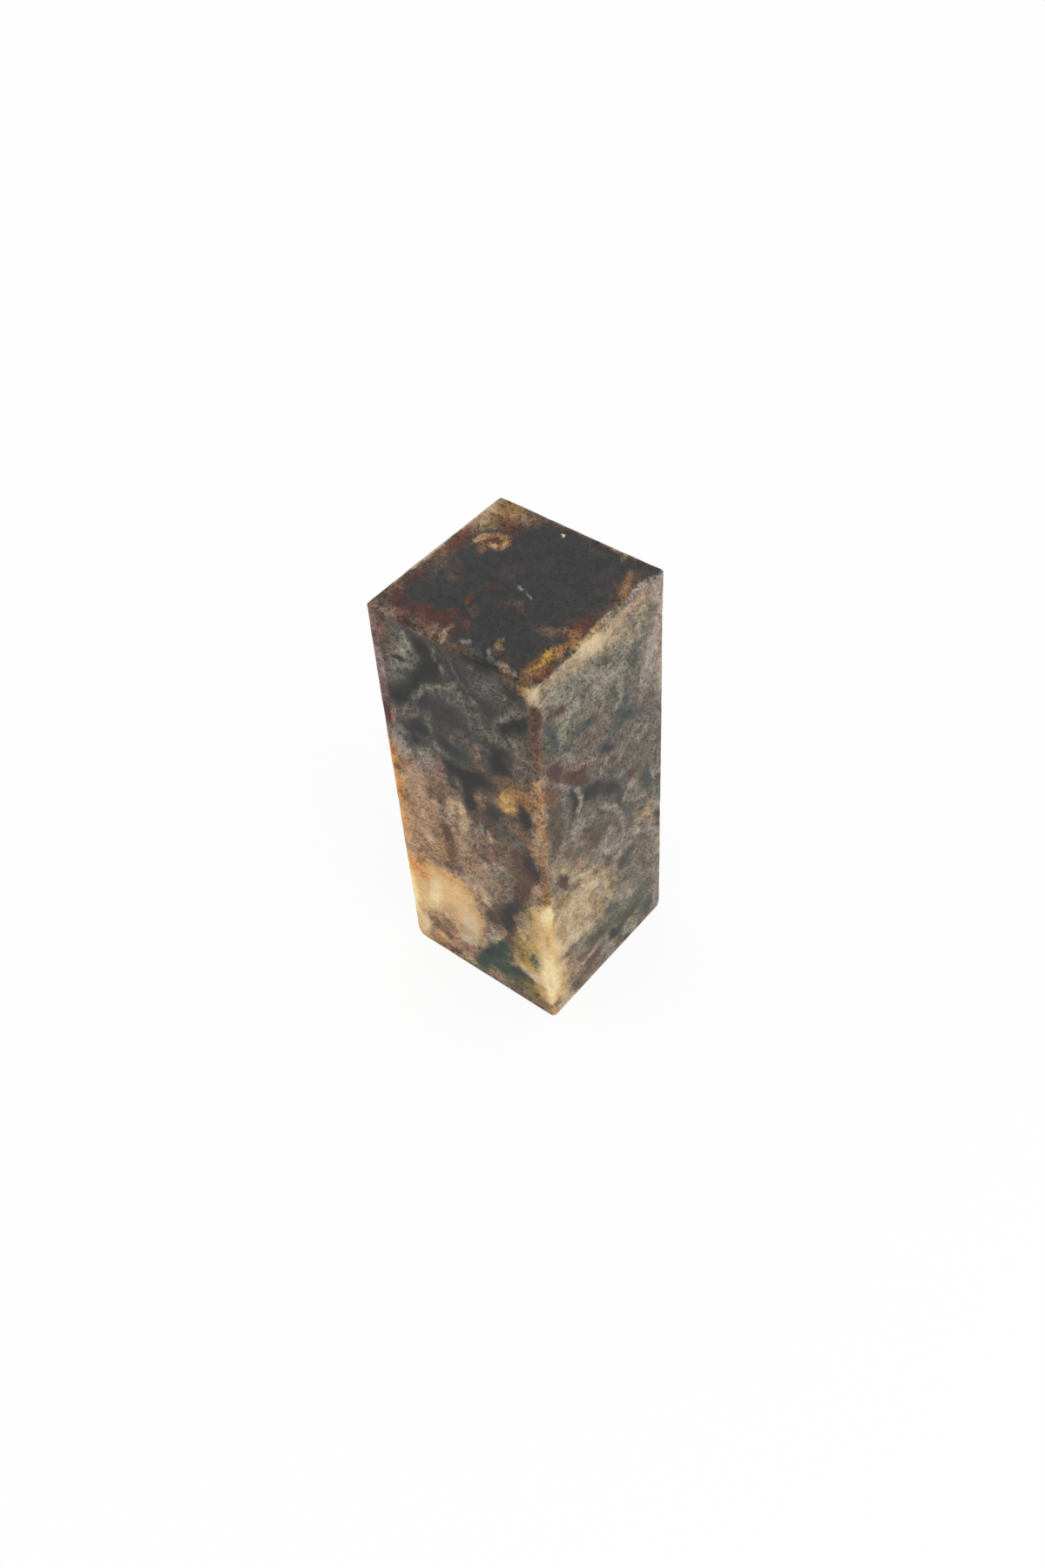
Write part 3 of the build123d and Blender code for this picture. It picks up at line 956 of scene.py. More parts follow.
# %% The head of the front right face
right_head = [
    # the near top corner and the grey strip on the near edge: partly painted highlight on worn edges
    ("shell", 0.6, 0.8, (-9.8, 49.6), (-9.4, 48)), ("tan", 0.5, 0.6, (-9, 48.8), (-8.6, 47.8)),
    ("taupe", 0.4, 0.7, (-10, 46.4), (-10, 42)), ("flint", 0.4, 0.7, (-10, 42), (-10, 38)),
    ("rose", 0.6, 0.6, (-8.6, 49), (-6.8, 49)), ("ash", 3, 0.5, (-3, 45.4), (6, 45)),
    ("linen", 2, 0.5, (-1.6, 43), (0.8, 42)), ("sand", 1.2, 0.85, (-4.2, 48.6), (-0.6, 48.6), (2, 48)),
    ("shell", 0.7, 0.7, (-2.8, 49), (-1.4, 48.4), (0.6, 48.6)),
    ("cream", 0.6, 0.5, (-2.4, 49.2), (-0.6, 49.2)), ("shell", 0.4, 0.5, (-1.8, 47.6), (-0.8, 48.2)),
    ("rose", 0.8, 0.4, (2.8, 49.2), (6, 48.8), (8.6, 48.6)), ("sand", 0.7, 0.4, (3, 47.6), (4.6, 45.4)),
    ("sand", 0.6, 0.3, (4.6, 45.4), (6.4, 47.4)), ("fog", 0.9, 0.6, (8.6, 49), (9.4, 46.6)),
    ("pearl", 0.8, 0.5, (-8.2, 47.4), (-5.8, 46.6)),
    # the near edge
    ("plum", 0.5, 0.9, (-9.9, 47), (-9.6, 46), (-9.8, 44.6)),
    ("bark", 0.6, 0.6, (-9.7, 45.4), (-9.3, 44)), ("bark", 0.6, 0.6, (-9.6, 43.4), (-9.8, 41.8)),
    ("umber", 0.7, 0.6, (-9.2, 41.6), (-9.7, 39.8)), ("earth", 0.6, 0.6, (-9.6, 39.6), (-8.8, 38.4)),
    ("clay", 0.3, 0.5, (-9.2, 44.6), (-9.5, 42.6)), ("cocoa", 0.6, 0.5, (-8.5, 45.2), (-8.2, 43.6)),
    ("taupe", 0.6, 0.5, (-8.4, 41), (-8, 39.4)), ("tan", 0.6, 0.7, (-9.8, 37.6), (-9.3, 36)),
    ("fawn", 0.6, 0.8, (-9.6, 35.6), (-9.8, 33.8)), ("rust", 0.6, 0.5, (-9, 35.4), (-8.2, 33.6)),
    ("umber", 0.8, 0.7, (-8.6, 36), (-8.2, 33.8)),
    # the ring in the middle
    ("slate", 0.7, 0.9, (-8.6, 44.2), (-7.6, 42.6), (-7.1, 40.4)),
    ("slate", 0.6, 0.7, (-7, 40.6), (-6.2, 39), (-5.3, 38.4)),
    ("bark", 0.5, 0.9, (-7, 44.8), (-5.6, 44.3)), ("cocoa", 0.3, 0.7, (-8, 45.5), (-7.6, 45)),
    ("lead", 0.9, 0.6, (-3, 44), (-2, 42.4)), ("slate", 0.7, 0.8, (-4, 40), (-2.4, 39.2), (-1, 39.6)),
    ("moss", 0.6, 0.8, (-0.6, 46), (1.4, 45)), ("slate", 0.5, 0.7, (1.4, 41.6), (1.6, 39.4)),
    ("pearl", 0.5, 0.5, (-5.8, 42.2), (-4.4, 43.6), (-3.8, 42.8)),
    ("pearl", 0.4, 0.5, (-5.8, 41.2), (-6.3, 39.8)),
    ("pearl", 0.5, 0.5, (-1.4, 43.6), (-0.4, 42.4), (0.3, 41.4)),
    ("pearl", 0.4, 0.5, (0.8, 43.6), (2, 42.4)), ("slate", 0.8, 0.95, (4.6, 43.6), (5.2, 41.6)),
    ("mauve", 0.4, 0.4, (4, 43.6), (4.4, 42.8)), ("slate", 0.5, 0.6, (6.2, 43.8), (7.4, 43.6)),
    ("umber", 0.3, 0.5, (6.8, 41.9), (7.2, 41.4)), ("lead", 0.7, 0.8, (3.9, 41), (3.6, 38.6)),
    ("slate", 0.5, 0.7, (6, 39.8), (6, 38.4)), ("fog", 1.1, 0.6, (8.6, 43), (7.6, 40), (7, 37.6)),
    ("rose", 0.8, 0.6, (9.7, 48), (9.7, 42), (9.7, 37)),
    ("fog", 0.5, 0.8, (9.5, 46), (9.6, 41), (9.7, 36)),
    ("lilac", 0.5, 0.5, (9.2, 44.6), (9.4, 40), (9, 38)), ("lilac", 0.5, 0.5, (8.6, 45.8), (8.8, 44)),
    ("mauve", 0.6, 0.3, (-1.6, 40.6), (0, 38.2)), ("slate", 0.8, 0.9, (2.4, 37), (3.8, 38)),
    ("slate", 0.9, 0.9, (1.8, 35.2), (3.6, 36), (5.6, 34.6)),
    ("lead", 0.6, 0.7, (6.2, 35.2), (8, 33.8)), ("umber", 0.5, 0.4, (7.4, 36), (8.6, 34.8)),
    ("plum", 0.8, 0.9, (-8.2, 38), (-7.5, 37), (-7.2, 35.8)),
    ("taupe", 0.9, 0.6, (-3.2, 37.8), (-0.6, 36.4)),
    ("bark", 0.8, 0.9, (-6, 35.2), (-4.6, 34.2), (-3.4, 33)),
    ("slate", 0.9, 0.9, (-0.4, 34.2), (0.9, 33.6)), ("charcoal", 0.4, 0.7, (0.2, 33.8), (1.2, 33)),
    ("fog", 0.35, 0.6, (-2, 33.9), (-1.3, 33.9)),
]
print(len(right_head), "clouds in its head")

# %% The middle of the front right face
right_middle = [
    # the near edge: its warm pale strip is partly painted highlight along the rounded edge
    ("tan", 0.6, 0.7, (-9.9, 33.4), (-9.4, 31.8)), ("fawn", 0.6, 0.7, (-9.7, 31.4), (-9.9, 29.4)),
    ("sand", 0.35, 0.7, (-9.9, 30.6), (-9.9, 28.8)), ("tan", 0.5, 0.7, (-9.5, 28.8), (-9.8, 26.4)),
    ("bronze", 0.5, 0.4, (-9.3, 31), (-9.2, 27.4)), ("umber", 0.4, 0.7, (-9, 26.4), (-8.2, 26)),
    ("tan", 0.8, 0.5, (-9.4, 24.8), (-8.6, 22.6)), ("moss", 0.7, 0.5, (-5.6, 23.6), (-4.6, 22.2)),
    ("greenstone", 1, 0.6, (3, 23.4), (5.6, 22.6)), ("pearl", 0.8, 0.5, (-1, 20.6), (0.8, 21.2)),
    ("greenstone", 1, 0.6, (5, 30), (7.4, 27)), ("pearl", 0.7, 0.4, (4.6, 23.8), (6.4, 21.6)),
    ("greenstone", 0.9, 0.6, (-4, 19.4), (-2, 20.4)), ("taupe", 0.8, 0.5, (1.6, 21.6), (3.6, 19.6)),
    ("sand", 0.7, 0.5, (-8, 23.6), (-6.8, 22.6)), ("cocoa", 0.8, 0.8, (-7.9, 33), (-7.8, 30)),
    ("cocoa", 0.8, 0.8, (-7.6, 28.6), (-8, 26.4)),
    ("charcoal", 0.6, 0.95, (-5, 32.6), (-4.8, 31), (-5, 29.2)),
    ("soot", 0.8, 0.9, (-3.2, 30.3), (-1.8, 29.6), (-0.4, 29)),
    ("coal", 0.7, 0.9, (-0.6, 28.6), (1, 27.8)), ("charcoal", 0.5, 0.9, (0.6, 28.4), (2, 26.6)),
    ("coal", 0.6, 0.8, (1.8, 26.6), (2.8, 24.6)), ("slate", 0.5, 0.6, (2.8, 24.8), (3.1, 23.6)),
    ("bark", 0.6, 0.8, (-3.6, 32.8), (-2.6, 31.8)), ("lilac", 0.3, 0.6, (0.4, 32.2), (0.6, 31)),
    ("plum", 0.4, 0.5, (1.2, 31.6), (1.6, 30.8)), ("mauve", 0.4, 0.6, (2.4, 30.4), (3, 29.4)),
    ("mauve", 0.4, 0.6, (5.4, 30.4), (5.8, 29.8)), ("ash", 0.8, 0.6, (2.8, 31.4), (5, 32.6)),
    ("pearl", 0.6, 0.5, (6, 31), (7.6, 31.2)), ("bark", 0.5, 0.8, (4, 27.3), (4.9, 26.8)),
    ("fog", 0.6, 0.7, (4.2, 25.4), (5, 25)), ("lilac", 0.4, 0.5, (3.3, 24.2), (3.9, 23.9)),
    ("cocoa", 1.1, 0.8, (-2.8, 23.2), (-1.2, 22)), ("pearl", 0.9, 0.5, (-5, 26.4), (-2.2, 25.6)),
    ("cocoa", 0.6, 0.5, (-4, 24.6), (-2.4, 24.2)),
    ("bark", 0.6, 0.9, (-7.5, 21.6), (-7, 20.6), (-6.6, 19.4)),
    ("umber", 0.4, 0.7, (-6.4, 24.4), (-6.2, 23.6)), ("tan", 0.8, 0.6, (-5.6, 21.6), (-4, 20.6)),
    ("bronze", 0.5, 0.7, (-9.8, 21.4), (-9.4, 19.4)), ("olive", 0.7, 0.6, (-8.2, 18.4), (-7.2, 17.6)),
    ("taupe", 1, 0.4, (-6.4, 18.6), (-5.4, 17.4)), ("taupe", 1, 0.6, (-0.6, 18.6), (0.4, 17.6)),
    # butter at the near edge: partly painted glow of light through the thin edge
    ("butter", 0.7, 0.8, (-9.9, 18.4), (-9.8, 16)), ("shell", 0.6, 0.5, (-6.4, 16.6), (-4, 17)),
    ("earth", 0.5, 0.7, (-2, 17.2), (-0.9, 16.8)), ("moss", 0.6, 0.8, (0.4, 17.4), (0, 16.4)),
    ("fog", 0.6, 0.5, (-0.2, 20), (0.6, 18.4), (2, 18)),
    ("fog", 0.5, 0.5, (4.4, 17.8), (5.6, 17.2), (6, 16.4)),
    ("umber", 0.4, 0.6, (3.9, 20.3), (4.7, 19.4)), ("drab", 0.6, 0.4, (5.6, 20), (7.4, 19)),
    ("lead", 0.8, 0.4, (5.8, 28.6), (7.8, 28)), ("slate", 0.8, 0.4, (3.2, 27.6), (3.8, 26.4)),
    ("moss", 0.7, 0.5, (6, 26), (6.6, 23.4)), ("slate", 0.6, 0.9, (7, 25.8), (7.3, 23.8), (7.9, 22)),
    ("slate", 0.4, 0.8, (8.8, 26.4), (8.8, 24.6)), ("plum", 0.6, 0.6, (9.2, 29.4), (9.1, 27)),
    ("plum", 0.5, 0.8, (9.3, 22.3), (9.5, 20.9)), ("lead", 0.7, 0.6, (8.4, 21), (9.5, 19.4)),
    ("earth", 0.5, 0.5, (7, 17.8), (8.2, 17)), ("ink", 0.5, 0.9, (9.2, 16.8), (9.6, 16)),
    ("ink", 0.35, 0.8, (9.9, 27), (9.95, 23)), ("slate", 0.5, 0.6, (3.2, 22.4), (4.4, 21)),
    ("moss", 0.5, 0.5, (0.6, 23.6), (1.2, 22.2)), ("slate", 0.5, 0.5, (-6.6, 30), (-6.8, 28)),
]
print(len(right_middle), "clouds in its middle")

# %% The foot of the front right face
right_foot = [
    # honey, cream and butter down the near edge: partly painted glow and highlight of the thin edge
    ("honey", 0.9, 0.8, (-9.6, 16), (-9.4, 13), (-9.1, 10.6)),
    ("wheat", 0.4, 0.6, (-10, 14.6), (-9.9, 12.8)), ("cream", 0.6, 0.5, (-8.6, 12.4), (-8.4, 10)),
    ("honey", 1.1, 0.7, (-9, 8.6), (-8.8, 4)), ("butter", 0.8, 0.9, (-10, 9.4), (-10, 5)),
    ("cream", 0.9, 0.8, (-9.5, 8.4), (-9.3, 4.4)), ("gold", 0.6, 0.4, (-9.4, 3.8), (-9, 3)),
    ("earth", 0.5, 0.8, (-9.4, 2.2), (-9.4, 0.8)), ("wheat", 0.7, 0.5, (-8, 6), (-7.8, 3.6)),
    ("shell", 0.9, 0.5, (-7.6, 15.6), (-4, 15)), ("shell", 0.6, 0.6, (-4, 13), (-3.2, 12)),
    ("olive", 0.6, 0.35, (-5.6, 15), (-5.2, 11)), ("olive", 0.5, 0.35, (-7.2, 14), (-6.8, 11)),
    ("shell", 0.7, 0.6, (-6.6, 13.6), (-6, 11.4)), ("pearl", 0.7, 0.5, (-1.8, 15), (-1, 13.4)),
    ("shell", 0.5, 0.6, (-2.8, 15.8), (-1.8, 14.8)), ("olive", 0.9, 0.5, (-2.2, 12.2), (-1.2, 10.6)),
    ("shell", 0.5, 0.8, (-3.7, 10), (-3.3, 9)), ("sand", 0.35, 0.6, (0, 12.8), (0.7, 10.8)),
    ("shell", 0.9, 0.6, (-7.4, 10.2), (-5, 9.8)), ("sand", 0.8, 0.6, (-7, 7), (-6, 6)),
    ("taupe", 0.6, 0.8, (-7.6, 8.7), (-6.4, 8.3), (-5.4, 7.9)),
    ("clay", 0.8, 0.7, (-6.8, 6.8), (-5, 5.2)), ("ash", 0.6, 0.6, (-4.6, 7.6), (-3.8, 6.6)),
    ("moss", 0.8, 0.8, (-3.4, 7.2), (-1.8, 6.4), (0, 5.6)), ("olive", 0.4, 0.4, (-1, 8), (0.4, 7.2)),
    ("slate", 0.8, 0.6, (0.4, 8.8), (1.4, 8.2)), ("umber", 0.7, 0.8, (-4.8, 5.4), (-1.8, 4.9)),
    ("taupe", 1, 0.6, (-3.8, 3), (-2, 2.2)), ("bark", 0.6, 0.8, (-3.8, 3.4), (-1.4, 3.2)),
    ("bark", 1, 0.7, (-6.2, 2), (-4.6, 0.8)), ("slate", 0.5, 0.4, (-6, 1.4), (-5, 2.2)),
    ("umber", 0.8, 0.6, (-4, 2.2), (-2.4, 1.4)),
    ("charcoal", 0.7, 0.9, (0.2, 4.2), (1, 3.4), (2.8, 3.2)),
    ("moss", 0.9, 0.7, (1.6, 5.3), (3.4, 4.8), (6, 4.6)), ("coal", 0.5, 0.6, (3, 4), (5.6, 4.2)),
    ("greenstone", 0.5, 0.6, (1.6, 6.2), (3.4, 5.6)),
    ("lead", 0.8, 0.6, (4.6, 6.4), (6.2, 6.2), (8, 5.6)),
    ("slate", 0.9, 0.7, (6.4, 2.6), (7.8, 2.8), (7, 1.8)),
    ("pearl", 0.8, 0.9, (-0.4, 2.8), (0.5, 1.4), (0.7, 0.6)),
    ("pearl", 0.7, 0.9, (3.2, 2.6), (4, 1.4), (4.6, 0.7)), ("fog", 0.5, 0.7, (-8.7, 1.6), (-8.3, 0.7)),
    ("drab", 0.5, 0.8, (1.8, 2.2), (1.9, 0.9)), ("charcoal", 0.4, 0.8, (3.2, 1), (3.4, 0.5)),
    ("lilac", 0.7, 0.5, (9, 5), (9.4, 3), (9, 1.6)),
    ("slate", 0.8, 0.7, (4.6, 15), (3, 14.2), (3.8, 13.4)), ("moss", 0.6, 0.5, (3, 15), (2.6, 13.6)),
    ("slate", 0.5, 0.7, (5.8, 15.4), (6.6, 14.6)), ("drab", 0.4, 0.5, (0.8, 14.6), (1, 12)),
    ("lead", 0.8, 0.7, (5.4, 11.9), (6.6, 10.8)), ("fog", 0.5, 0.5, (2, 9), (3.8, 8), (4.8, 7.2)),
    ("greenstone", 0.7, 0.6, (6.4, 12.6), (9, 12.6)), ("plum", 0.5, 0.8, (9.2, 15.2), (9.8, 14.2)),
    ("gold", 0.3, 0.6, (9.5, 12), (9.8, 11)), ("moss", 0.6, 0.5, (8.2, 9.4), (9.4, 7.8)),
    ("fog", 0.5, 0.4, (1.4, 16.4), (4.4, 16.4)), ("lead", 0.6, 0.6, (3.4, 11.6), (4.6, 10.4)),
    ("taupe", 0.6, 0.6, (2, 12.6), (2.6, 11.4)),
]
print(len(right_foot), "clouds in its foot")
right_clouds = right_head + right_middle + right_foot

# %% Veins of the front right face
right_veins = [
    ("pearl", 0.26, 0.8, (-4.8, 32.7), (-4.2, 31.7), (-3.75, 30.6), (-3.8, 29.5), (-4.2, 28.6)),
    ("shell", 0.3, 0.4, (-4.4, 29.3), (-4.2, 28.8)),
    ("pearl", 0.4, 0.5, (-4.2, 28), (-4.8, 26.8), (-5.3, 25.8)),
    ("ash", 0.35, 0.6, (-6.4, 32.6), (-6.3, 30.6), (-6.1, 28.4)),
    ("pearl", 0.3, 0.7, (-0.5, 26), (0.6, 25.2), (1.5, 24.3)),
    ("pearl", 0.32, 0.7, (1.5, 24.3), (2.1, 23.2), (2.7, 22)),
    ("ash", 0.35, 0.6, (2.7, 22), (3.1, 20.8), (3.4, 19.4)), ("fog", 0.3, 0.4, (3.3, 19.4), (3, 18.2)),
    ("pearl", 0.35, 0.6, (2.6, 28.3), (4, 28), (4.8, 28.6)),
    ("fog", 0.4, 0.5, (-6.4, 38), (-5.2, 37), (-4.2, 36.2)),
    ("rose", 0.3, 0.5, (-4.8, 35.4), (-3.2, 34.5)),
    ("fog", 0.3, 0.5, (-7.6, 35.4), (-6.4, 34.2), (-5.8, 33.2)),
    ("pearl", 0.25, 0.6, (7.8, 25.2), (8.4, 23.2)), ("fog", 0.3, 0.6, (8.8, 23.3), (9.8, 22.8)),
    ("shell", 0.35, 0.6, (-5.6, 19.4), (-4, 18.7), (-2.2, 18)),
    ("shell", 0.25, 0.5, (-9, 20), (-8.6, 18.4)), ("fog", 0.35, 0.6, (-5, 4.2), (-3, 4.4), (-1.2, 4.8)),
    ("fog", 0.3, 0.5, (-1.2, 4.8), (-0.4, 4)), ("fog", 0.3, 0.5, (7.4, 14.6), (9.2, 13.4)),
    ("fog", 0.3, 0.5, (6.4, 16.2), (8.4, 14.8)),
    ("greenstone", 0.3, 0.6, (0, 24.4), (1, 23.4), (1.6, 22.2)),
    ("pearl", 0.3, 0.5, (-6.5, 39.6), (-6.3, 42), (-4.8, 44.8), (-3.2, 46.2)),
    ("pearl", 0.35, 0.5, (-2.4, 45.2), (0, 43.4), (2.6, 42), (3, 38.6)),
    ("pearl", 0.3, 0.4, (5.4, 40.8), (6.2, 42.2)), ("pearl", 0.4, 0.4, (3.8, 45.6), (4.8, 44.6)),
    ("charcoal", 0.25, 0.5, (-7.3, 34.8), (-6.7, 33.6)), ("lead", 0.3, 0.6, (5.8, 37.4), (7.2, 35.8)),
    ("pearl", 0.3, 0.4, (1.8, 37.8), (2.4, 38.8)), ("pearl", 0.25, 0.4, (-0.6, 31.8), (0.2, 30.4)),
    ("pearl", 0.25, 0.4, (4.4, 34.2), (6.4, 32.2)), ("slate", 0.3, 0.5, (6.6, 34), (8.8, 31.6)),
]
print(len(right_veins), "veins of the right face")

# %% [markdown]
# ## Marks of the top
# The top is nearly black, with a warm margin: a pale corner at the left with a small ring in it,
# wine red along two sides, and brass along the edge at the right.

# %% Marks on the top
top_grounds = [
    ("soot", 11, 1, (-2, 0), (2, 0)), ("soot", 7, 1, (-7, -7), (7, -7)),
    ("soot", 7, 1, (-7, 7), (7, 7)),
]
top_clouds = [
    # the warm corner at the left
    ("wine", 0.8, 0.6, (-8.8, 4), (-8.6, 1)), ("umber", 0.7, 0.6, (-9, 0.6), (-9, -2)),
    ("olive", 1.4, 0.7, (-9.4, 8.6), (-8.4, 6)), ("bronze", 1.1, 0.8, (-8.4, 9), (-6.6, 8.6)),
    ("earth", 0.7, 0.6, (-6.4, 8.8), (-4.6, 8.4)), ("chestnut", 0.6, 0.6, (-7.6, 6.8), (-5.4, 7)),
    ("umber", 0.5, 0.8, (-5, 9.6), (-1, 9.7)), ("sand", 0.6, 0.8, (-9.8, 9.2), (-9.6, 4.6)),
    ("tan", 0.8, 0.5, (-9, 6.4), (-8.6, 4.8)), ("clay", 0.35, 0.6, (-9.9, 4), (-9.8, -3)),
    ("tan", 0.6, 0.6, (-9.2, 7), (-8.8, 5.6)), ("chestnut", 0.7, 0.6, (-7.8, 6.4), (-5.8, 6.2)),
    ("chestnut", 0.6, 0.8, (-9.4, 4), (-9.2, 1)), ("umber", 0.5, 0.8, (-9.6, 2), (-9.5, -2)),
    # the ring in it
    ("chestnut", 0.8, 0.7, (-6.4, 3.6), (-5.4, 4)),
    ("fawn", 0.28, 0.7, (-7.1, 3.1), (-6.8, 3.9), (-6.2, 4.6)),
    ("bronze", 0.35, 0.7, (-6.2, 4.6), (-5.4, 4.8), (-4.9, 4.5)),
    ("fawn", 0.3, 0.7, (-4.9, 4.4), (-4.8, 3.8), (-5.4, 3.6)),
    ("bronze", 0.4, 0.6, (-6.2, 2.9), (-5.8, 2.4)),
    # the margins at left and in front
    ("drab", 0.4, 0.5, (-8, -1.3), (-7.7, -2.2)), ("bark", 0.7, 0.7, (-9.3, -2.6), (-9.1, -5.4)),
    ("wine", 0.5, 0.4, (-8.8, -3.2), (-8.4, -4.4)), ("earth", 0.4, 0.6, (-9.5, -5.6), (-8.6, -6.4)),
    ("wine", 0.8, 0.6, (-8.8, -6.8), (-7.4, -8.2)), ("earth", 0.4, 0.6, (-9.4, -6.6), (-9, -8.2)),
    ("wine", 0.8, 0.8, (-5.2, -8), (-3.7, -8.2)), ("mauve", 0.4, 0.6, (-9, -9.5), (-7, -9.4)),
    ("clay", 0.3, 0.5, (-7.4, -9.6), (-5.8, -9.2)), ("wine", 0.4, 0.6, (-6.6, -9), (-5.4, -9.7)),
    ("wine", 0.5, 0.5, (-2.7, -6.3), (-2.2, -6.7)), ("chestnut", 0.4, 0.5, (-0.6, -6.8), (0.2, -7.4)),
    ("wine", 0.7, 0.5, (-3.4, -7.2), (-1.2, -7.8)), ("umber", 0.6, 0.8, (-4.2, -9.2), (-0.4, -9.2)),
    ("clay", 0.28, 0.6, (-2.7, -8.6), (-2.2, -9.6)), ("clay", 0.25, 0.7, (-1.3, -8.2), (-1.1, -9.3)),
    ("tan", 0.15, 0.6, (-0.9, -8.9), (-0.4, -9.6)), ("rose", 0.25, 0.6, (-9.2, -9.9), (-6.6, -10)),
    ("sand", 0.25, 0.6, (-3.3, -9.9), (-2.4, -10)), ("lilac", 0.22, 0.7, (1.1, -8.6), (1.5, -8.7)),
    ("umber", 0.4, 0.7, (0.6, -9.6), (2.4, -9.7)),
    # dim stains in the dark middle
    ("umber", 0.45, 0.4, (-5.9, -2.4), (-5.3, -2.7)), ("plum", 0.7, 0.25, (-1.8, 1.6), (-1.2, 1)),
    ("plum", 0.5, 0.25, (0.4, 3.9), (1.1, 3.4)), ("wine", 0.5, 0.45, (-1.9, -0.9), (-1.5, -1.2)),
    ("umber", 0.4, 0.5, (-1.1, -4.6), (-0.6, -5.3)),
    ("chestnut", 0.35, 0.7, (-2.7, -3.8), (-2.4, -4.4)), ("umber", 0.35, 0.45, (1.4, -2.1), (2, -1.8)),
    ("wine", 0.3, 0.4, (0.8, -2.6), (1.2, -2.7)), ("bark", 0.3, 0.5, (2.6, -2.3), (3.1, -2.6)),
    ("plum", 0.6, 0.3, (-7, -0.6), (-6.4, -1.4)),
    # the right margin
    ("wine", 0.7, 0.5, (8.8, 0.6), (8.6, -2), (9.3, -8)), ("umber", 0.8, 0.6, (8.6, 7.6), (9, 4)),
    ("olive", 0.25, 0.6, (3.8, -6.8), (4.2, -7.4)), ("umber", 0.3, 0.6, (4.1, -7.8), (4.5, -8.2)),
    ("lead", 0.35, 0.7, (2.4, -8.9), (3.2, -9.3)), ("clay", 0.3, 0.7, (5.8, -9.2), (7.4, -9.5)),
    ("bronze", 0.7, 0.7, (8.7, -5.2), (8.9, -9.4)), ("brass", 0.35, 0.7, (8.6, -5.4), (8.9, -6.6)),
    ("brass", 0.3, 0.6, (8.9, -7), (8.6, -8)), ("chestnut", 0.3, 0.6, (8.2, -6.8), (8.1, -8.4)),
    ("chestnut", 0.4, 0.8, (9.9, -7.2), (10, -8.8)), ("bronze", 0.4, 0.7, (9, -4.4), (9.4, -5.2)),
    ("bronze", 0.4, 0.7, (9, -2.6), (9.2, -3.4)), ("bronze", 0.35, 0.6, (7.6, -2.4), (8.8, -2.1)),
    ("umber", 0.5, 0.7, (5.8, -3.4), (7.2, -3.2)), ("chestnut", 0.35, 0.6, (7.8, -1.3), (8.8, -1.5)),
    ("earth", 0.4, 0.6, (8.2, 7.2), (8.4, 6.4)), ("bronze", 0.3, 0.6, (8.4, 6.2), (8.8, 5)),
    ("bronze", 0.4, 0.6, (9.3, 5), (9.5, 3.4)), ("bark", 0.4, 0.6, (8.7, 3.8), (9.3, 1.6)),
    # the thin pale lines on the very edge here are partly painted highlight on the bevel
    ("wheat", 0.3, 0.8, (9.8, -0.4), (9.9, -3.2)), ("tan", 0.25, 0.7, (9.9, 1.8), (9.9, 0)),
    ("fog", 0.25, 0.7, (9.9, 8.6), (9.9, 3.2)), ("soot", 0.7, 0.9, (8.2, 9.1), (9.2, 8.8)),
    ("umber", 0.3, 0.7, (-3, 9.8), (3, 9.8), (7, 9.7)), ("drab", 0.4, 0.5, (5.9, 9.3), (6.1, 8.5)),
    ("plum", 0.5, 0.4, (1.8, 8.9), (3.6, 8.5)), ("plum", 0.6, 0.25, (5.8, 6.2), (7, 5.4)),
    # the pale rims that face away: painted highlight where the bevels catch the light
    ("shell", 0.3, 0.8, (-10, -9), (-10, 0), (-10, 9.4)),
    ("fog", 0.2, 0.7, (-9.4, 10), (0, 10), (9.4, 10)),
]
print(len(top_clouds), "clouds of the top")
top_veins = [
    ("sand", 0.2, 0.6, (-7.2, 2.9), (-6.9, 3.6)), ("sand", 0.18, 0.5, (-5.7, 3.5), (-5, 3.6)),
    ("wine", 0.3, 0.8, (-5.9, 4.3), (-5.7, 4.1)), ("butter", 0.11, 0.9, (-1.05, 8.45), (-0.9, 8.25)),
    ("pearl", 0.15, 0.7, (0.4, 0), (0.9, -0.2)), ("pearl", 0.13, 0.7, (1.7, -0.2), (2.4, -0.7)),
    ("pearl", 0.2, 0.6, (3.6, -8.3), (4.2, -9)), ("greenstone", 0.2, 0.5, (4.3, -9.1), (5.4, -9.4)),
    ("soot", 0.35, 0.9, (9.8, -4.6), (9.8, -5)), ("soot", 0.4, 0.9, (8.2, -4.3), (8.3, -3.6)),
]
print(len(top_veins), "veins of the top")

# %% [markdown]
# ## The faces that are painted
# A mark's two numbers are places on a face, and the finish works in the block's own space, so each
# face says where its zero is and how its two directions run. The faces also look out on different
# parts of the room. Each has its own share of daylight, and the polish lays a thin grey haze of
# reflected light over it, which is not the same at the foot as at the top. Both are taken off a
# named colour before it is used, so that it comes out as it was named.

# %% Faces
inward_share = 0.15
darkest_stone = 0.002


class Face:
    """A side that is painted: where its zero is, how its directions run and how it is lit."""

    def __init__(self, zero, across, up, haze, daylight):
        self.zero = Vector(zero)
        self.across = Vector(across)
        self.up = Vector(up)
        self.haze_at_foot, self.haze_at_top = haze
        self.daylight = daylight

    def at(self, point):
        return self.zero + point[0] * self.across + point[1] * self.up

    def around(self, shader, place, shift):
        """The place torn along the face, and hardly into it, so that no stroke sinks out of sight."""
        share = self.across + self.up + inward_share * self.across.cross(self.up)
        return shader.moved(place + shift * Vector(abs(part) for part in share))

    def stone(self, name, height=0):
        """The stone's own colour, from how it looks under the polish of this face at a height."""
        rise = (self.haze_at_top - self.haze_at_foot) * height / (top / mm)
        haze = self.haze_at_foot + rise
        seen = in_light([value / 255 for value in stone_colours[name]])
        own = [max((channel - haze) / self.daylight, darkest_stone) for channel in seen]
        return (*own, 1)


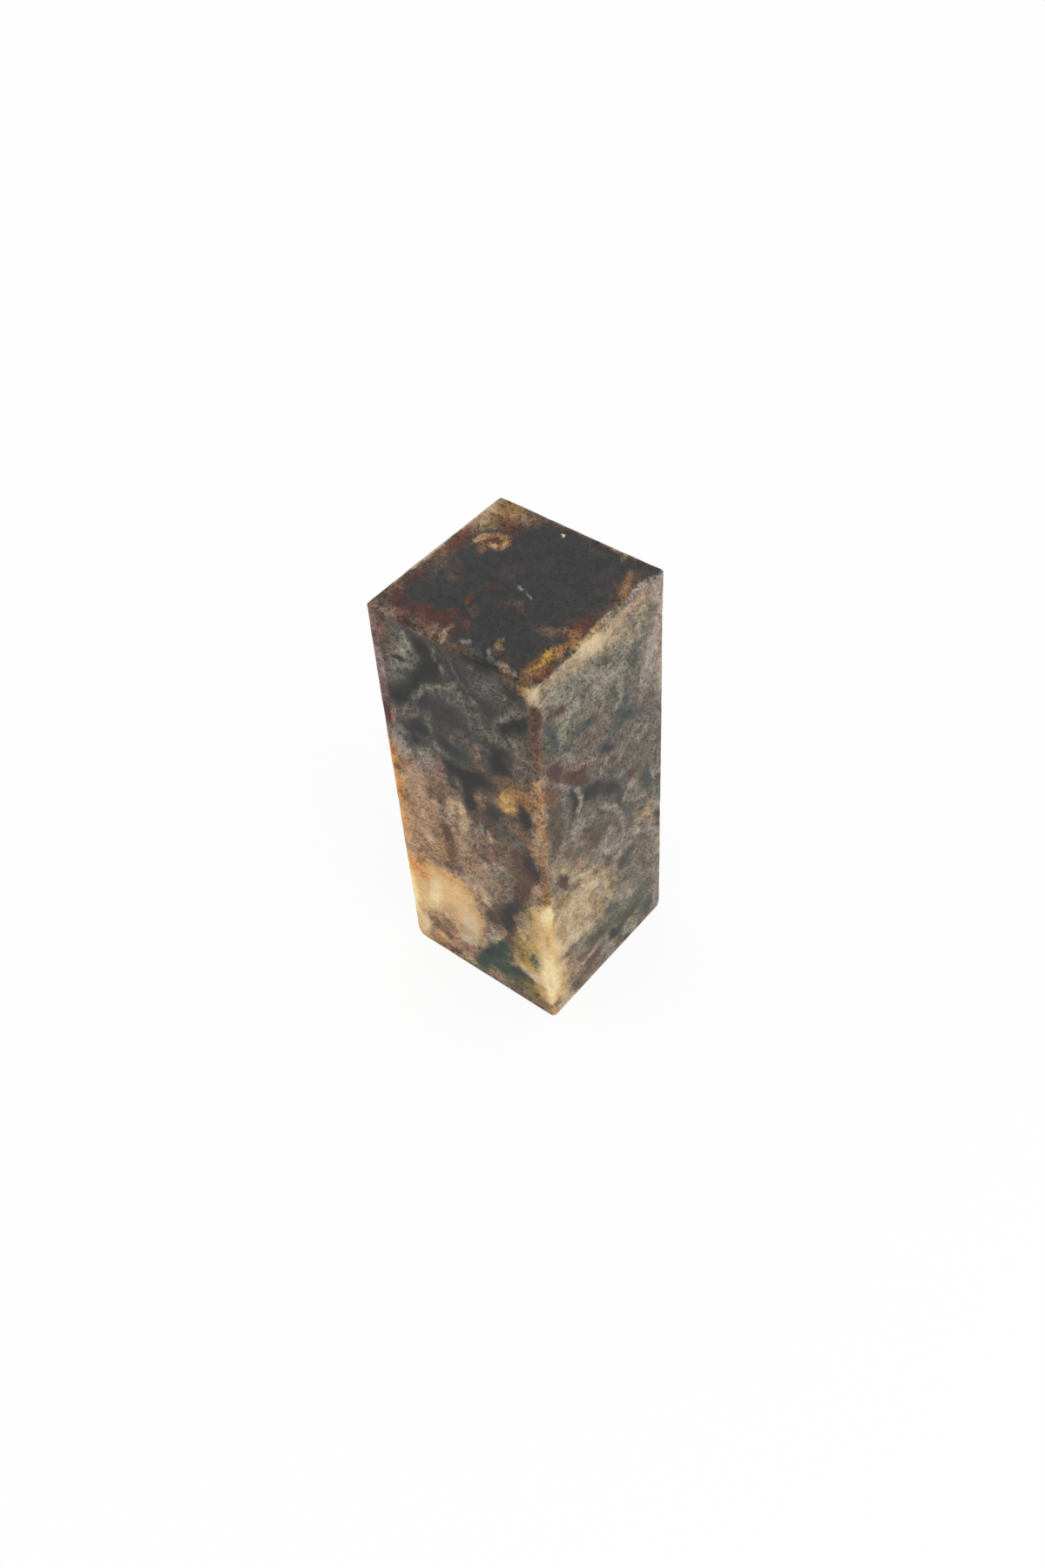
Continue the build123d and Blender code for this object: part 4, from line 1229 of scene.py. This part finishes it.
half_width_mm = half_side / mm
left_face = Face((0, -half_width_mm, 0), (1, 0, 0), (0, 0, 1), haze=(0.062, 0.046), daylight=0.88)
right_face = Face((half_width_mm, 0, 0), (0, 1, 0), (0, 0, 1), haze=(0.077, 0.058), daylight=0.98)
top_face = Face((0, 0, top / mm), (1, 0, 0), (0, 1, 0), haze=(0.028, 0.028), daylight=1.02)
hidden_faces = Face((0, 0, 0), (1, 0, 0), (0, 1, 0), haze=(0.045, 0.045), daylight=0.9)
butter = left_face.stone("butter")
print("butter stone at left, in light:", [round(part, 2) for part in butter[:3]])

# %% [markdown]
# ## Groups of nodes
# A painted face takes hundreds of nodes, and all three faces in one tree would be hard to find one's
# way in. A node group is a tree of its own with named inputs and outputs, and shows as a single node
# where it is used. So each kind of mark on each face gets a group, which can be opened by itself.

# %% Groups
class Group(Steps):
    """A shader node group: named inputs and outputs, and a way to use it in a material."""

    def __init__(self, name, inputs, outputs):
        super().__init__(bpy.data.node_groups.new(name, "ShaderNodeTree"))
        self.ends = {}
        for way, sockets in (("INPUT", inputs), ("OUTPUT", outputs)):
            for title, kind in sockets.items():
                socket_type = "NodeSocket" + kind
                item = self.made.interface.new_socket(title, in_out=way, socket_type=socket_type)
                self.ends[title] = item.identifier
        self.entry = self.made.nodes.new("NodeGroupInput")
        self.exit = self.made.nodes.new("NodeGroupOutput")

    def given(self, title):
        return Socket(self, self.entry.outputs[title])

    def give(self, title, value):
        self.made.links.new(value.end, self.exit.inputs[title])

    def use(self, tree, **values):
        """The group as one node of another tree."""
        sockets = {self.ends[title]: value for title, value in values.items()}
        return tree.node("ShaderNodeGroup", {"node_tree": self.made}, sockets)


print("Group:", Group.__doc__)

# %% [markdown]
# ## Laying strokes
# A stroke is a row of points on a face, and each run of it is one ellipsoid: four nodes. A Mapping
# node brings a point of the stone into the ellipsoid's own space, where it is a ball of radius one. A
# spherical Gradient falls from 1 at its middle to 0 at its edge. Map Range eases that into the share
# of the colour, and Mix lays the colour. What makes it look like stone and not like paint is that the
# space is torn by noise beforehand: slowly for broad clouds, and finely for all, so that every edge
# is ragged.
#
# A Gradient is used and not a distance, because a renderer that works through the nodes one by one
# has a small store for values in flight. Mapping and Gradient share one kind of vector, so each run
# is done with before the next is begun, and hundreds of them fit. For the same reason whatever comes
# before the strokes gets its place from a Mapping node, even where nothing is moved.

# %% Strokes
end_share = 0.7


def runs(strokes):
    """Every straight run of every stroke."""
    for colour, half_width, strength, *points in strokes:
        for start, end in zip(points, points[1:]):
            yield colour, half_width, strength, start, end


def strokes_group(name, strokes, face, reach, core, depth):
    """A node group that lays each stroke's colour over what is there, in the order of the list."""
    group = Group(name, {"ground": "Color", "place": "Vector"}, {"colour": "Color"})
    colour = group.given("ground")
    place = group.given("place")
    for stone_name, half_width, strength, start, end in runs(strokes):
        start = face.at(start)
        end = face.at(end)
        middle = (start + end) / 2
        along = (end - start).normalized()
        out = face.across.cross(face.up)
        turned = Matrix((along, out.cross(along), out)).transposed()
        half_long = (end - start).length / 2 + end_share * half_width
        own_space = group.node("ShaderNodeMapping", {"vector_type": "TEXTURE"}, {
            "Vector": place,
            "Location": middle,
            "Rotation": turned.to_euler(),
            "Scale": reach * Vector((half_long, half_width, depth)),
        })
        nearness = group.node(
            "ShaderNodeTexGradient", {"gradient_type": "SPHERICAL"}, {"Vector": own_space}, out="Fac"
        )
        share = group.step(nearness, 0, core, strength)
        colour = group.mix(share, colour, face.stone(stone_name, middle.z))
    group.give("colour", colour)
    return group


print(sum(1 for run in runs(left_clouds)), "runs in the clouds of the left face")

# %% [markdown]
# ## The ground
# Under all strokes lies what the back, the far side and the underside show. One broad noise, read
# through a Color Ramp, goes from soot to cream, and it is tipped a little by height, so that the
# block is dark above and warm below, as its front is. The place that the noise reads is first
# folded by slower and quicker noise, and then turned and squeezed by a Mapping node: that makes
# slanting layers out of round clouds.

# %% The drifting ground
layer_turn = (0.5, -0.6, 0)
layer_squeeze = (1, 1, 1.6)
drift_size = 10
age_per_mm = 0.005
middle_height = top / mm / 2
ages = {
    "soot": 0.26, "coal": 0.36, "lead": 0.43, "taupe": 0.49,
    "clay": 0.55, "sand": 0.61, "wheat": 0.67, "cream": 0.76,
}


def drifting_ground(shader, wide, layers):
    """Clouds that drift from dark above to warm below."""
    height = shader.parts(wide)[2]
    drift = shader.noise(layers, 1 / drift_size, detail=4, roughness=0.5)
    age = drift + (middle_height - height) * age_per_mm
    stops = [(place, hidden_faces.stone(name)) for name, place in ages.items()]
    return shader.node("ShaderNodeValToRGB", {"stops": stops}, {"Fac": age}, out="Color")


print("the ground runs through", len(ages), "colours")

# %% [markdown]
# ## Patches and threads
# Other layers show through the ground. A patch is where a noise of its own rises past a level, and
# a thread is where another noise crosses its middle: the distance from 0.5 is then small, and that
# draws a line. Each has its own offset in space, so that no two patterns lie on each other.

# %% Patches and threads of other layers
# colour, offset, size in mm, where it starts to show, where it shows fully, and its strength
patch_kinds = (
    ("mauve", (31, 7, 3), 3.4, 0.52, 0.64, 0.45),
    ("greenstone", (5, 43, 11), 3.0, 0.52, 0.64, 0.45),
    ("tan", (17, 19, 61), 2.6, 0.55, 0.67, 0.45),
    ("soot", (71, 3, 29), 3.2, 0.54, 0.65, 0.5),
    ("pine", (2, 83, 37), 3.6, 0.57, 0.67, 0.5),
    ("fog", (53, 29, 5), 1.9, 0.56, 0.7, 0.4),
    ("bark", (9, 59, 47), 1.7, 0.56, 0.7, 0.4),
)
# colour, offset, size in mm, width and strength
thread_kinds = (
    ("pearl", (13, 3, 41), 8, 0.03, 0.5),
    ("soot", (67, 23, 7), 7, 0.035, 0.6),
    ("fog", (3, 47, 19), 5, 0.03, 0.35),
)
spread_size = 4
spread_start = 0.48
spread_full = 0.6


def with_patches(shader, layers, colour):
    """Patches of other layers laid over the ground."""
    for name, offset, size, low, high, strength in patch_kinds:
        patches = shader.noise(shader.moved(layers, offset), 1 / size, detail=3, roughness=0.5)
        share = shader.step(patches, low, high, strength)
        colour = shader.mix(share, colour, hidden_faces.stone(name))
    return colour


def with_threads(shader, wide, layers, colour):
    """Pale threads and dark cracks where layers were pulled apart, in some places only."""
    for name, offset, size, width, strength in thread_kinds:
        folds = shader.noise(shader.moved(layers, offset), 1 / size, detail=2, roughness=0.45)
        ridge = shader.maths("ABSOLUTE", folds - 0.5)
        spread = shader.noise(shader.moved(wide, offset[::-1]), 1 / spread_size, detail=2)
        here = shader.step(spread, spread_start, spread_full, strength)
        line = shader.step(ridge, width, width / 5)
        colour = shader.mix(line * here, colour, hidden_faces.stone(name))
    return colour


print(len(patch_kinds), "kinds of patches and", len(thread_kinds), "kinds of threads")

# %% [markdown]
# ## The painted faces
# The three lists of a face are laid in turn. Grounds are broad and soft and reach deep, clouds are
# tighter, and veins are thin and lie near the skin. A mark fades out at its reach, which multiplies
# its length, width and depth, and its core is the part of that over which it fades. A vein's place
# is torn only finely, because a slow tear would carry it away from where it was put.

# %% The painted faces
ground_edge = {"reach": 2.0, "core": 0.9, "depth": 0.8}
cloud_edge = {"reach": 1.7, "core": 0.75, "depth": 0.6}
vein_edge = {"reach": 2.0, "core": 1.0, "depth": 0.4}
top_edge = {"reach": 2.0, "core": 0.9, "depth": 0.3}


def with_strokes(shader, place, torn, frayed, colour):
    """The strokes of the two front faces and then of the top, each list a group of its own."""
    for name, strokes, face, edge, shift in (
        ("left_grounds", left_grounds, left_face, ground_edge, torn),
        ("right_grounds", right_grounds, right_face, ground_edge, torn),
        ("left_clouds", left_clouds, left_face, cloud_edge, torn),
        ("right_clouds", right_clouds, right_face, cloud_edge, torn),
        ("left_veins", left_veins, left_face, vein_edge, frayed),
        ("right_veins", right_veins, right_face, vein_edge, frayed),
        ("top_grounds", top_grounds, top_face, top_edge, torn),
        ("top_clouds", top_clouds, top_face, top_edge, torn),
        ("top_veins", top_veins, top_face, top_edge, frayed),
    ):
        group = strokes_group(name, strokes, face, **edge)
        colour = group.use(shader, ground=colour, place=face.around(shader, place, shift))
    return colour


cloud_depth = cloud_edge["reach"] * cloud_edge["depth"]
print("a cloud ends at", cloud_edge["reach"], "half widths and", round(cloud_depth, 1), "mm deep")

# %% [markdown]
# ## Streaks, threads and grain
# Close up the stone is never plain. Streaks run along its layers, pale threads cross it, fibres and
# grain break it up, and its hue turns a little from place to place. These multiply the colour, and
# how much they may do depends on how bright the stone is there: most in the middle tones, less on
# pale stone, and nothing in what is nearly black.

# %% The texture of the stone
layers_run = Vector((1, -1, 1)).normalized()
layers_pressed = 0.6
streak_waves = 1.1
streak_contrast = 1.9
grain_waves = 3.6
grain_contrast = 2
thread_waves = 0.7
thread_width = 0.05
thread_light = 0.55
thread_mean = 0.15
fibre_waves = 2
fibre_contrast = 3.4
fibre_mean = 0.085
hue_waves = 1.1
hue_contrast = 0.45
# how the weight of all this falls on bright stone and on dark stone
bright_start = 1.75
bright_fall = 3.6
least_weight = 0.2
dark_fall = 20
least_light = 0.3


def with_texture(shader, place, colour):
    """The colour broken up, and the streaks and the grain, which are used again."""
    depth = shader.maths("DOT_PRODUCT", place, layers_run)
    flattened = place - depth * layers_pressed * layers_run
    streaks = shader.noise(flattened, streak_waves, detail=5, roughness=0.72)
    grain = shader.noise(place, grain_waves, detail=3, roughness=0.8)
    folds = shader.noise(flattened, thread_waves, detail=5, roughness=0.6) - 0.5
    folds = shader.maths("ABSOLUTE", folds)
    fibres = shader.noise(flattened, fibre_waves, detail=2, roughness=0.7) - 0.5
    fibres = shader.maths("ABSOLUTE", fibres)

    brightness = shader.node("ShaderNodeRGBToBW", sockets={"Color": colour})
    fading = shader.maths("MAXIMUM", bright_start - brightness * bright_fall, least_weight)
    weight = shader.maths("MINIMUM", fading, brightness * dark_fall)
    threads = shader.step(folds, thread_width, 0, thread_light) - thread_mean
    light = 1 + (
        (streaks - 0.5) * streak_contrast + (grain - 0.5) * grain_contrast
        + threads + (fibre_mean - fibres) * fibre_contrast
    ) * weight
    hue = shader.noise(place, hue_waves, detail=5, roughness=0.7, out="Color")
    tint = (hue - 0.5) * hue_contrast * shader.maths("MINIMUM", weight, 1) + 1
    return colour * tint * shader.maths("MAXIMUM", light, least_light), streaks, grain


print("streaks of", round(1 / streak_waves, 1), "mm and grain of", round(1 / grain_waves, 1), "mm")

# %% [markdown]
# ## The stain of the paste
# Paste is pressed past the raised lines and stains the lower part of the walls between them. It has
# no thickness there, so it is a colour of the stone and not a piece. The outer faces stay clean: a
# seal is wiped.

# %% The paste's stain
paste_red = (0.7, 0.07, 0.06)
stain_height = 0.5
stain_unevenness = 1.2
stain_strength = 0.75
# how far in from the outer faces it starts and is full, in mm
stain_starts = 0.6
stain_full = 0.75


def with_stain(shader, place, streaks, colour):
    """The red of the paste on the walls of the carving."""
    x, y, height = shader.parts(place)
    from_middle = shader.maths("MAXIMUM", shader.maths("ABSOLUTE", x), shader.maths("ABSOLUTE", y))
    inside = shader.step(from_middle, half_width_mm - stain_starts, half_width_mm - stain_full)
    uneven = height + (streaks - 0.5) * stain_unevenness
    low_down = shader.step(uneven, stain_height, stain_height / 4, stain_strength)
    return shader.mix(inside * low_down, colour, (*in_light(paste_red), 1))


print("the stain ends", stain_height, "mm above the printing plane")

# %% [markdown]
# ## The whole finish
# Here the steps are put together. Two noises tear the space for all of them: a slow one moves broad
# clouds about, and a quick one frays every edge. Last, the polish: soft stone takes a dull shine,
# so its roughness wanders about a middle value, and a very small bump keeps it from looking glazed.

# %% The stone
slow_size = 4
quick_size = 1.4
tear_share = 1.5
drift_share = 1.8
ground_fold = 4
ground_fray = 0.7
grain_height = 0.01 * mm
grain_strength = 0.3
polish = 0.38
polish_waves = 0.8
polish_unevenness = 0.3
shine = 0.2


def marbled_stone():
    shader = Shader("marbled_stone")
    place = shader.node("ShaderNodeTexCoord", out="Object") * (1 / mm)
    slow = shader.noise(place, 1 / slow_size, detail=2, roughness=0.6, out="Color") - 0.5
    quick = shader.noise(place, 1 / quick_size, detail=6, roughness=0.72, out="Color") - 0.5
    frayed = quick * tear_share
    torn = quick * tear_share + slow * drift_share

    drifted = place + slow * ground_fold + quick * ground_fray
    wide = shader.moved(drifted)
    layers = shader.node("ShaderNodeMapping", sockets={
        "Vector": drifted, "Rotation": layer_turn, "Scale": layer_squeeze,
    })
    colour = drifting_ground(shader, wide, layers)
    colour = with_patches(shader, layers, colour)
    colour = with_threads(shader, wide, layers, colour)
    colour = with_strokes(shader, place, torn, frayed, colour)
    colour, streaks, grain = with_texture(shader, place, colour)
    colour = with_stain(shader, place, streaks, colour)

    bump = shader.node("ShaderNodeBump", sockets={
        "Height": grain, "Distance": grain_height, "Strength": grain_strength,
    })
    wander_of_polish = (shader.noise(place, polish_waves, detail=3) - 0.5) * polish_unevenness
    surface = shader.node("ShaderNodeBsdfPrincipled", sockets={
        "Base Color": colour,
        "Roughness": polish + wander_of_polish,
        "Normal": bump,
        "Specular IOR Level": shine,
    })
    return shader.finish(surface)


stone_finish = marbled_stone()

# %% [markdown]
# ## Carving the foot
# The two cuts themselves are a recipe too, which takes the lines and the tray as objects. They could
# be Boolean modifiers, but then the finish would have to be put on afterwards. The start mesh is the
# block, and what comes out is the carved stone, still one closed skin.

# %% Carving the foot
stone_sharp_angle = 28


def knife_cut(recipe):
    """What the knife takes out: the tray less the raised lines, each given as an object."""
    tools = [recipe.ask("lines", "Object"), recipe.ask("tray", "Object")]
    finish = recipe.ask("finish", "Material")
    lines_shape, tray_shape = [
        recipe.node("GeometryNodeObjectInfo", sockets={"Object": tool}, out="Geometry")
        for tool in tools
    ]
    return less(recipe, tray_shape, lines_shape), finish


def carve_recipe():
    """The block less what the knife takes out."""
    recipe = Recipe("carving")
    taken_out, finish = knife_cut(recipe)
    recipe.serve(less(recipe, recipe.start(), taken_out), finish)
    return recipe


def smooth_by_angle(piece, degrees):
    """Smooth shading, but for edges that turn more sharply than this."""
    piece.data.shade_smooth()
    piece.data.set_sharp_from_angle(angle=math.radians(degrees))


stone = carve_recipe().cook(
    "carved_stone", block.data, lines=lines, tray=tray, finish=stone_finish
)
smooth_by_angle(stone, stone_sharp_angle)

# %% [markdown]
# ## The finish of the paste
# Seal paste is a pigment in oil, thick and sticky. Where it is thick it is deep red with a soft
# shine, and where it was wiped or printed off it is thin and paler. One noise makes its clots, and
# the same noise, read with a broader one, says where it is worn thin.

# %% The paste's finish
paste_pale = (0.83, 0.18, 0.13)
clot_waves = 3.5
spread_waves = 0.5
clots_in_wear = 0.7
worn_start = 0.38
worn_full = 0.62
clot_height = 0.03 * mm
clot_strength = 0.6
paste_roughness = 0.42
paste_roughness_change = 0.3


def seal_paste():
    shader = Shader("seal_paste")
    place = shader.node("ShaderNodeTexCoord", out="Object") * (1 / mm)
    clots = shader.noise(place, clot_waves, detail=4, roughness=0.65)
    spread = shader.noise(place, spread_waves, detail=3)
    worn = shader.step((clots - 0.5) * clots_in_wear + spread, worn_start, worn_full)
    colour = shader.mix(worn, (*in_light(paste_red), 1), (*in_light(paste_pale), 1))
    bump = shader.node("ShaderNodeBump", sockets={
        "Height": clots, "Distance": clot_height, "Strength": clot_strength,
    })
    surface = shader.node("ShaderNodeBsdfPrincipled", sockets={
        "Base Color": colour,
        "Roughness": paste_roughness + (clots - 0.5) * paste_roughness_change,
        "Normal": bump,
    })
    return shader.finish(surface)


paste_finish = seal_paste()

# %% [markdown]
# ## The seal paste
# The stamp is pressed on a pad of thick red paste, and after printing a skin of it stays on every
# raised face. Its outline is that of the carving, so the same tray and lines cut it out of a thin
# slab. The slab's corners are rounder than the block's, because the knocked corners of the foot
# never touch the pad, and its underside is a little uneven, as paste is when it parts from the
# paper.

# %% The paste slab and its cut
paste_inset = 0.14 * mm
paste_corner = 1.4 * mm
paste_grid = 131
paste_unevenness = 0.02 * mm
paste_edge_waves = 1800
paste_edge_share = 4
parting_waves = 2600
paste_sharp_angle = 40


def paste_recipe():
    """A thin slab with rounded corners, cut to the raised faces by the tray and the lines."""
    recipe = Recipe("seal_paste")
    half = recipe.ask("half_side")
    low = recipe.ask("low")
    high = recipe.ask("high")
    radius = recipe.ask("corner_round")
    rough = recipe.ask("unevenness")

    grid = recipe.node("GeometryNodeMeshCube", sockets={
        "Size": 2,
        "Vertices X": paste_grid,
        "Vertices Y": paste_grid,
        "Vertices Z": 2,
    })
    x, y, z = recipe.parts(recipe.node("GeometryNodeInputPosition"))
    outline = square_to_round(recipe, recipe.vector(x * half, y * half, 0), half, radius)
    wander_of_edge = recipe.noise(outline, paste_edge_waves, detail=1, out="Color") - 0.5
    outline = outline + wander_of_edge * rough * paste_edge_share * sideways
    parting = recipe.noise(outline, parting_waves, detail=2) * rough
    height = low + parting + (high - low - parting) * recipe.maths("GREATER_THAN", z, 0)
    place = outline + recipe.vector(0, 0, height)
    slab = recipe.node("GeometryNodeSetPosition", sockets={"Geometry": grid, "Position": place})

    taken_out, finish = knife_cut(recipe)
    recipe.serve(less(recipe, slab, taken_out), finish)
    return recipe


paste = paste_recipe().cook(
    "paste_film", half_side=half_side - paste_inset, low=stand_level, high=print_plane,
    corner_round=paste_corner, unevenness=paste_unevenness, lines=lines, tray=tray,
    finish=paste_finish,
)
smooth_by_angle(paste, paste_sharp_angle)

# %% [markdown]
# ## What stays
# The block, the lines and the tray have done their work and are thrown away. The two pieces that
# stay each stand in for one node of the packed part, and ride on its only body.

# %% What stays
for tool in (lines, tray, block):
    bpy.data.objects.remove(tool)
for piece, node, slot in (
    (stone, "seal_stone", "marbled_stone"),
    (paste, "seal_paste_film", "seal_paste"),
):
    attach(piece, "root")
    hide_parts(node)

# %% [markdown]
# ## Floor and light
# The stamp stands on plain white paper in soft daylight. If the paper were lit until it clipped to
# white, the stone would be washed out too. So the lamps stay at a plain level, and what the camera
# sees of the floor is mostly a white of its own: a part of it stays an ordinary matt surface, which
# is what keeps the faint shadow round the foot.

# %% Floor
floor_size = 6.0
floor_white = 0.9
own_white_share = 0.9


def seen_directly(shader):
    """1 for what the eye, a mirror or a glass shows, 0 for what lights other surfaces."""
    kinds = [
        shader.node("ShaderNodeLightPath", out=name)
        for name in ("Is Camera Ray", "Is Glossy Ray", "Is Transmission Ray")
    ]
    return shader.maths("MAXIMUM", shader.maths("MAXIMUM", kinds[0], kinds[1]), kinds[2])


def white_floor():
    shader = Shader("white_floor")
    paper = shader.node("ShaderNodeBsdfDiffuse", sockets={"Color": (floor_white,) * 3 + (1,)})
    own_white = shader.node("ShaderNodeEmission", sockets={"Color": (1, 1, 1, 1), "Strength": 1})
    share = seen_directly(shader) * own_white_share
    mixed = shader.node("ShaderNodeMixShader", sockets={
        "Fac": share, "Shader": paper, "Shader_001": own_white,
    })
    return shader.finish(mixed)


floor_half = floor_size / 2
floor_mesh = bpy.data.meshes.new("floor")
floor_corners = [(-1, -1), (1, -1), (1, 1), (-1, 1)]
floor_points = [(x * floor_half, y * floor_half, stand_level) for x, y in floor_corners]
floor_mesh.from_pydata(floor_points, [], [(0, 1, 2, 3)])
floor_mesh.materials.append(white_floor())
floor = bpy.data.objects.new("floor", floor_mesh)
bpy.context.collection.objects.link(floor)
print("the floor is", floor_size, "m wide")

# %% World
room_light = 0.9
world = bpy.data.worlds.new("white_room")
bpy.context.scene.world = world
world.use_nodes = True
world.node_tree.nodes.clear()
room = Tree(world.node_tree)
strength = room_light + seen_directly(room) * (1 - room_light)
background = room.node("ShaderNodeBackground", sockets={"Color": (1, 1, 1, 1), "Strength": strength})
room_end = world.node_tree.nodes.new("ShaderNodeOutputWorld")
world.node_tree.links.new(background.end, room_end.inputs["Surface"])
print("the room lights the stone with a strength of", room_light)

# %% Lamps
def soft_lamp(name, azimuth, elevation, distance, size, power):
    """A square lamp aimed at the middle of the block."""
    lamp_data = bpy.data.lights.new(name, "AREA")
    lamp_data.shape = "SQUARE"
    lamp_data.size = size
    lamp_data.energy = power
    lamp = bpy.data.objects.new(name, lamp_data)
    facing = camera_axes(math.radians(azimuth), math.radians(elevation), 0)
    aim = Vector((0, 0, top / 2))
    lamp.matrix_world = Matrix.Translation(aim + facing.col[2] * distance) @ facing.to_4x4()
    bpy.context.collection.objects.link(lamp)
    return lamp


window = soft_lamp("window", azimuth=75, elevation=45, distance=0.5, size=0.35, power=0.6)
print("lamp:", window.name, "with", round(window.data.energy, 2), "W")

# %% [markdown]
# ## Closing lines
# The colours are shown as they are, with no film look.

# %% Closing lines
bpy.context.scene.view_settings.view_transform = "Standard"
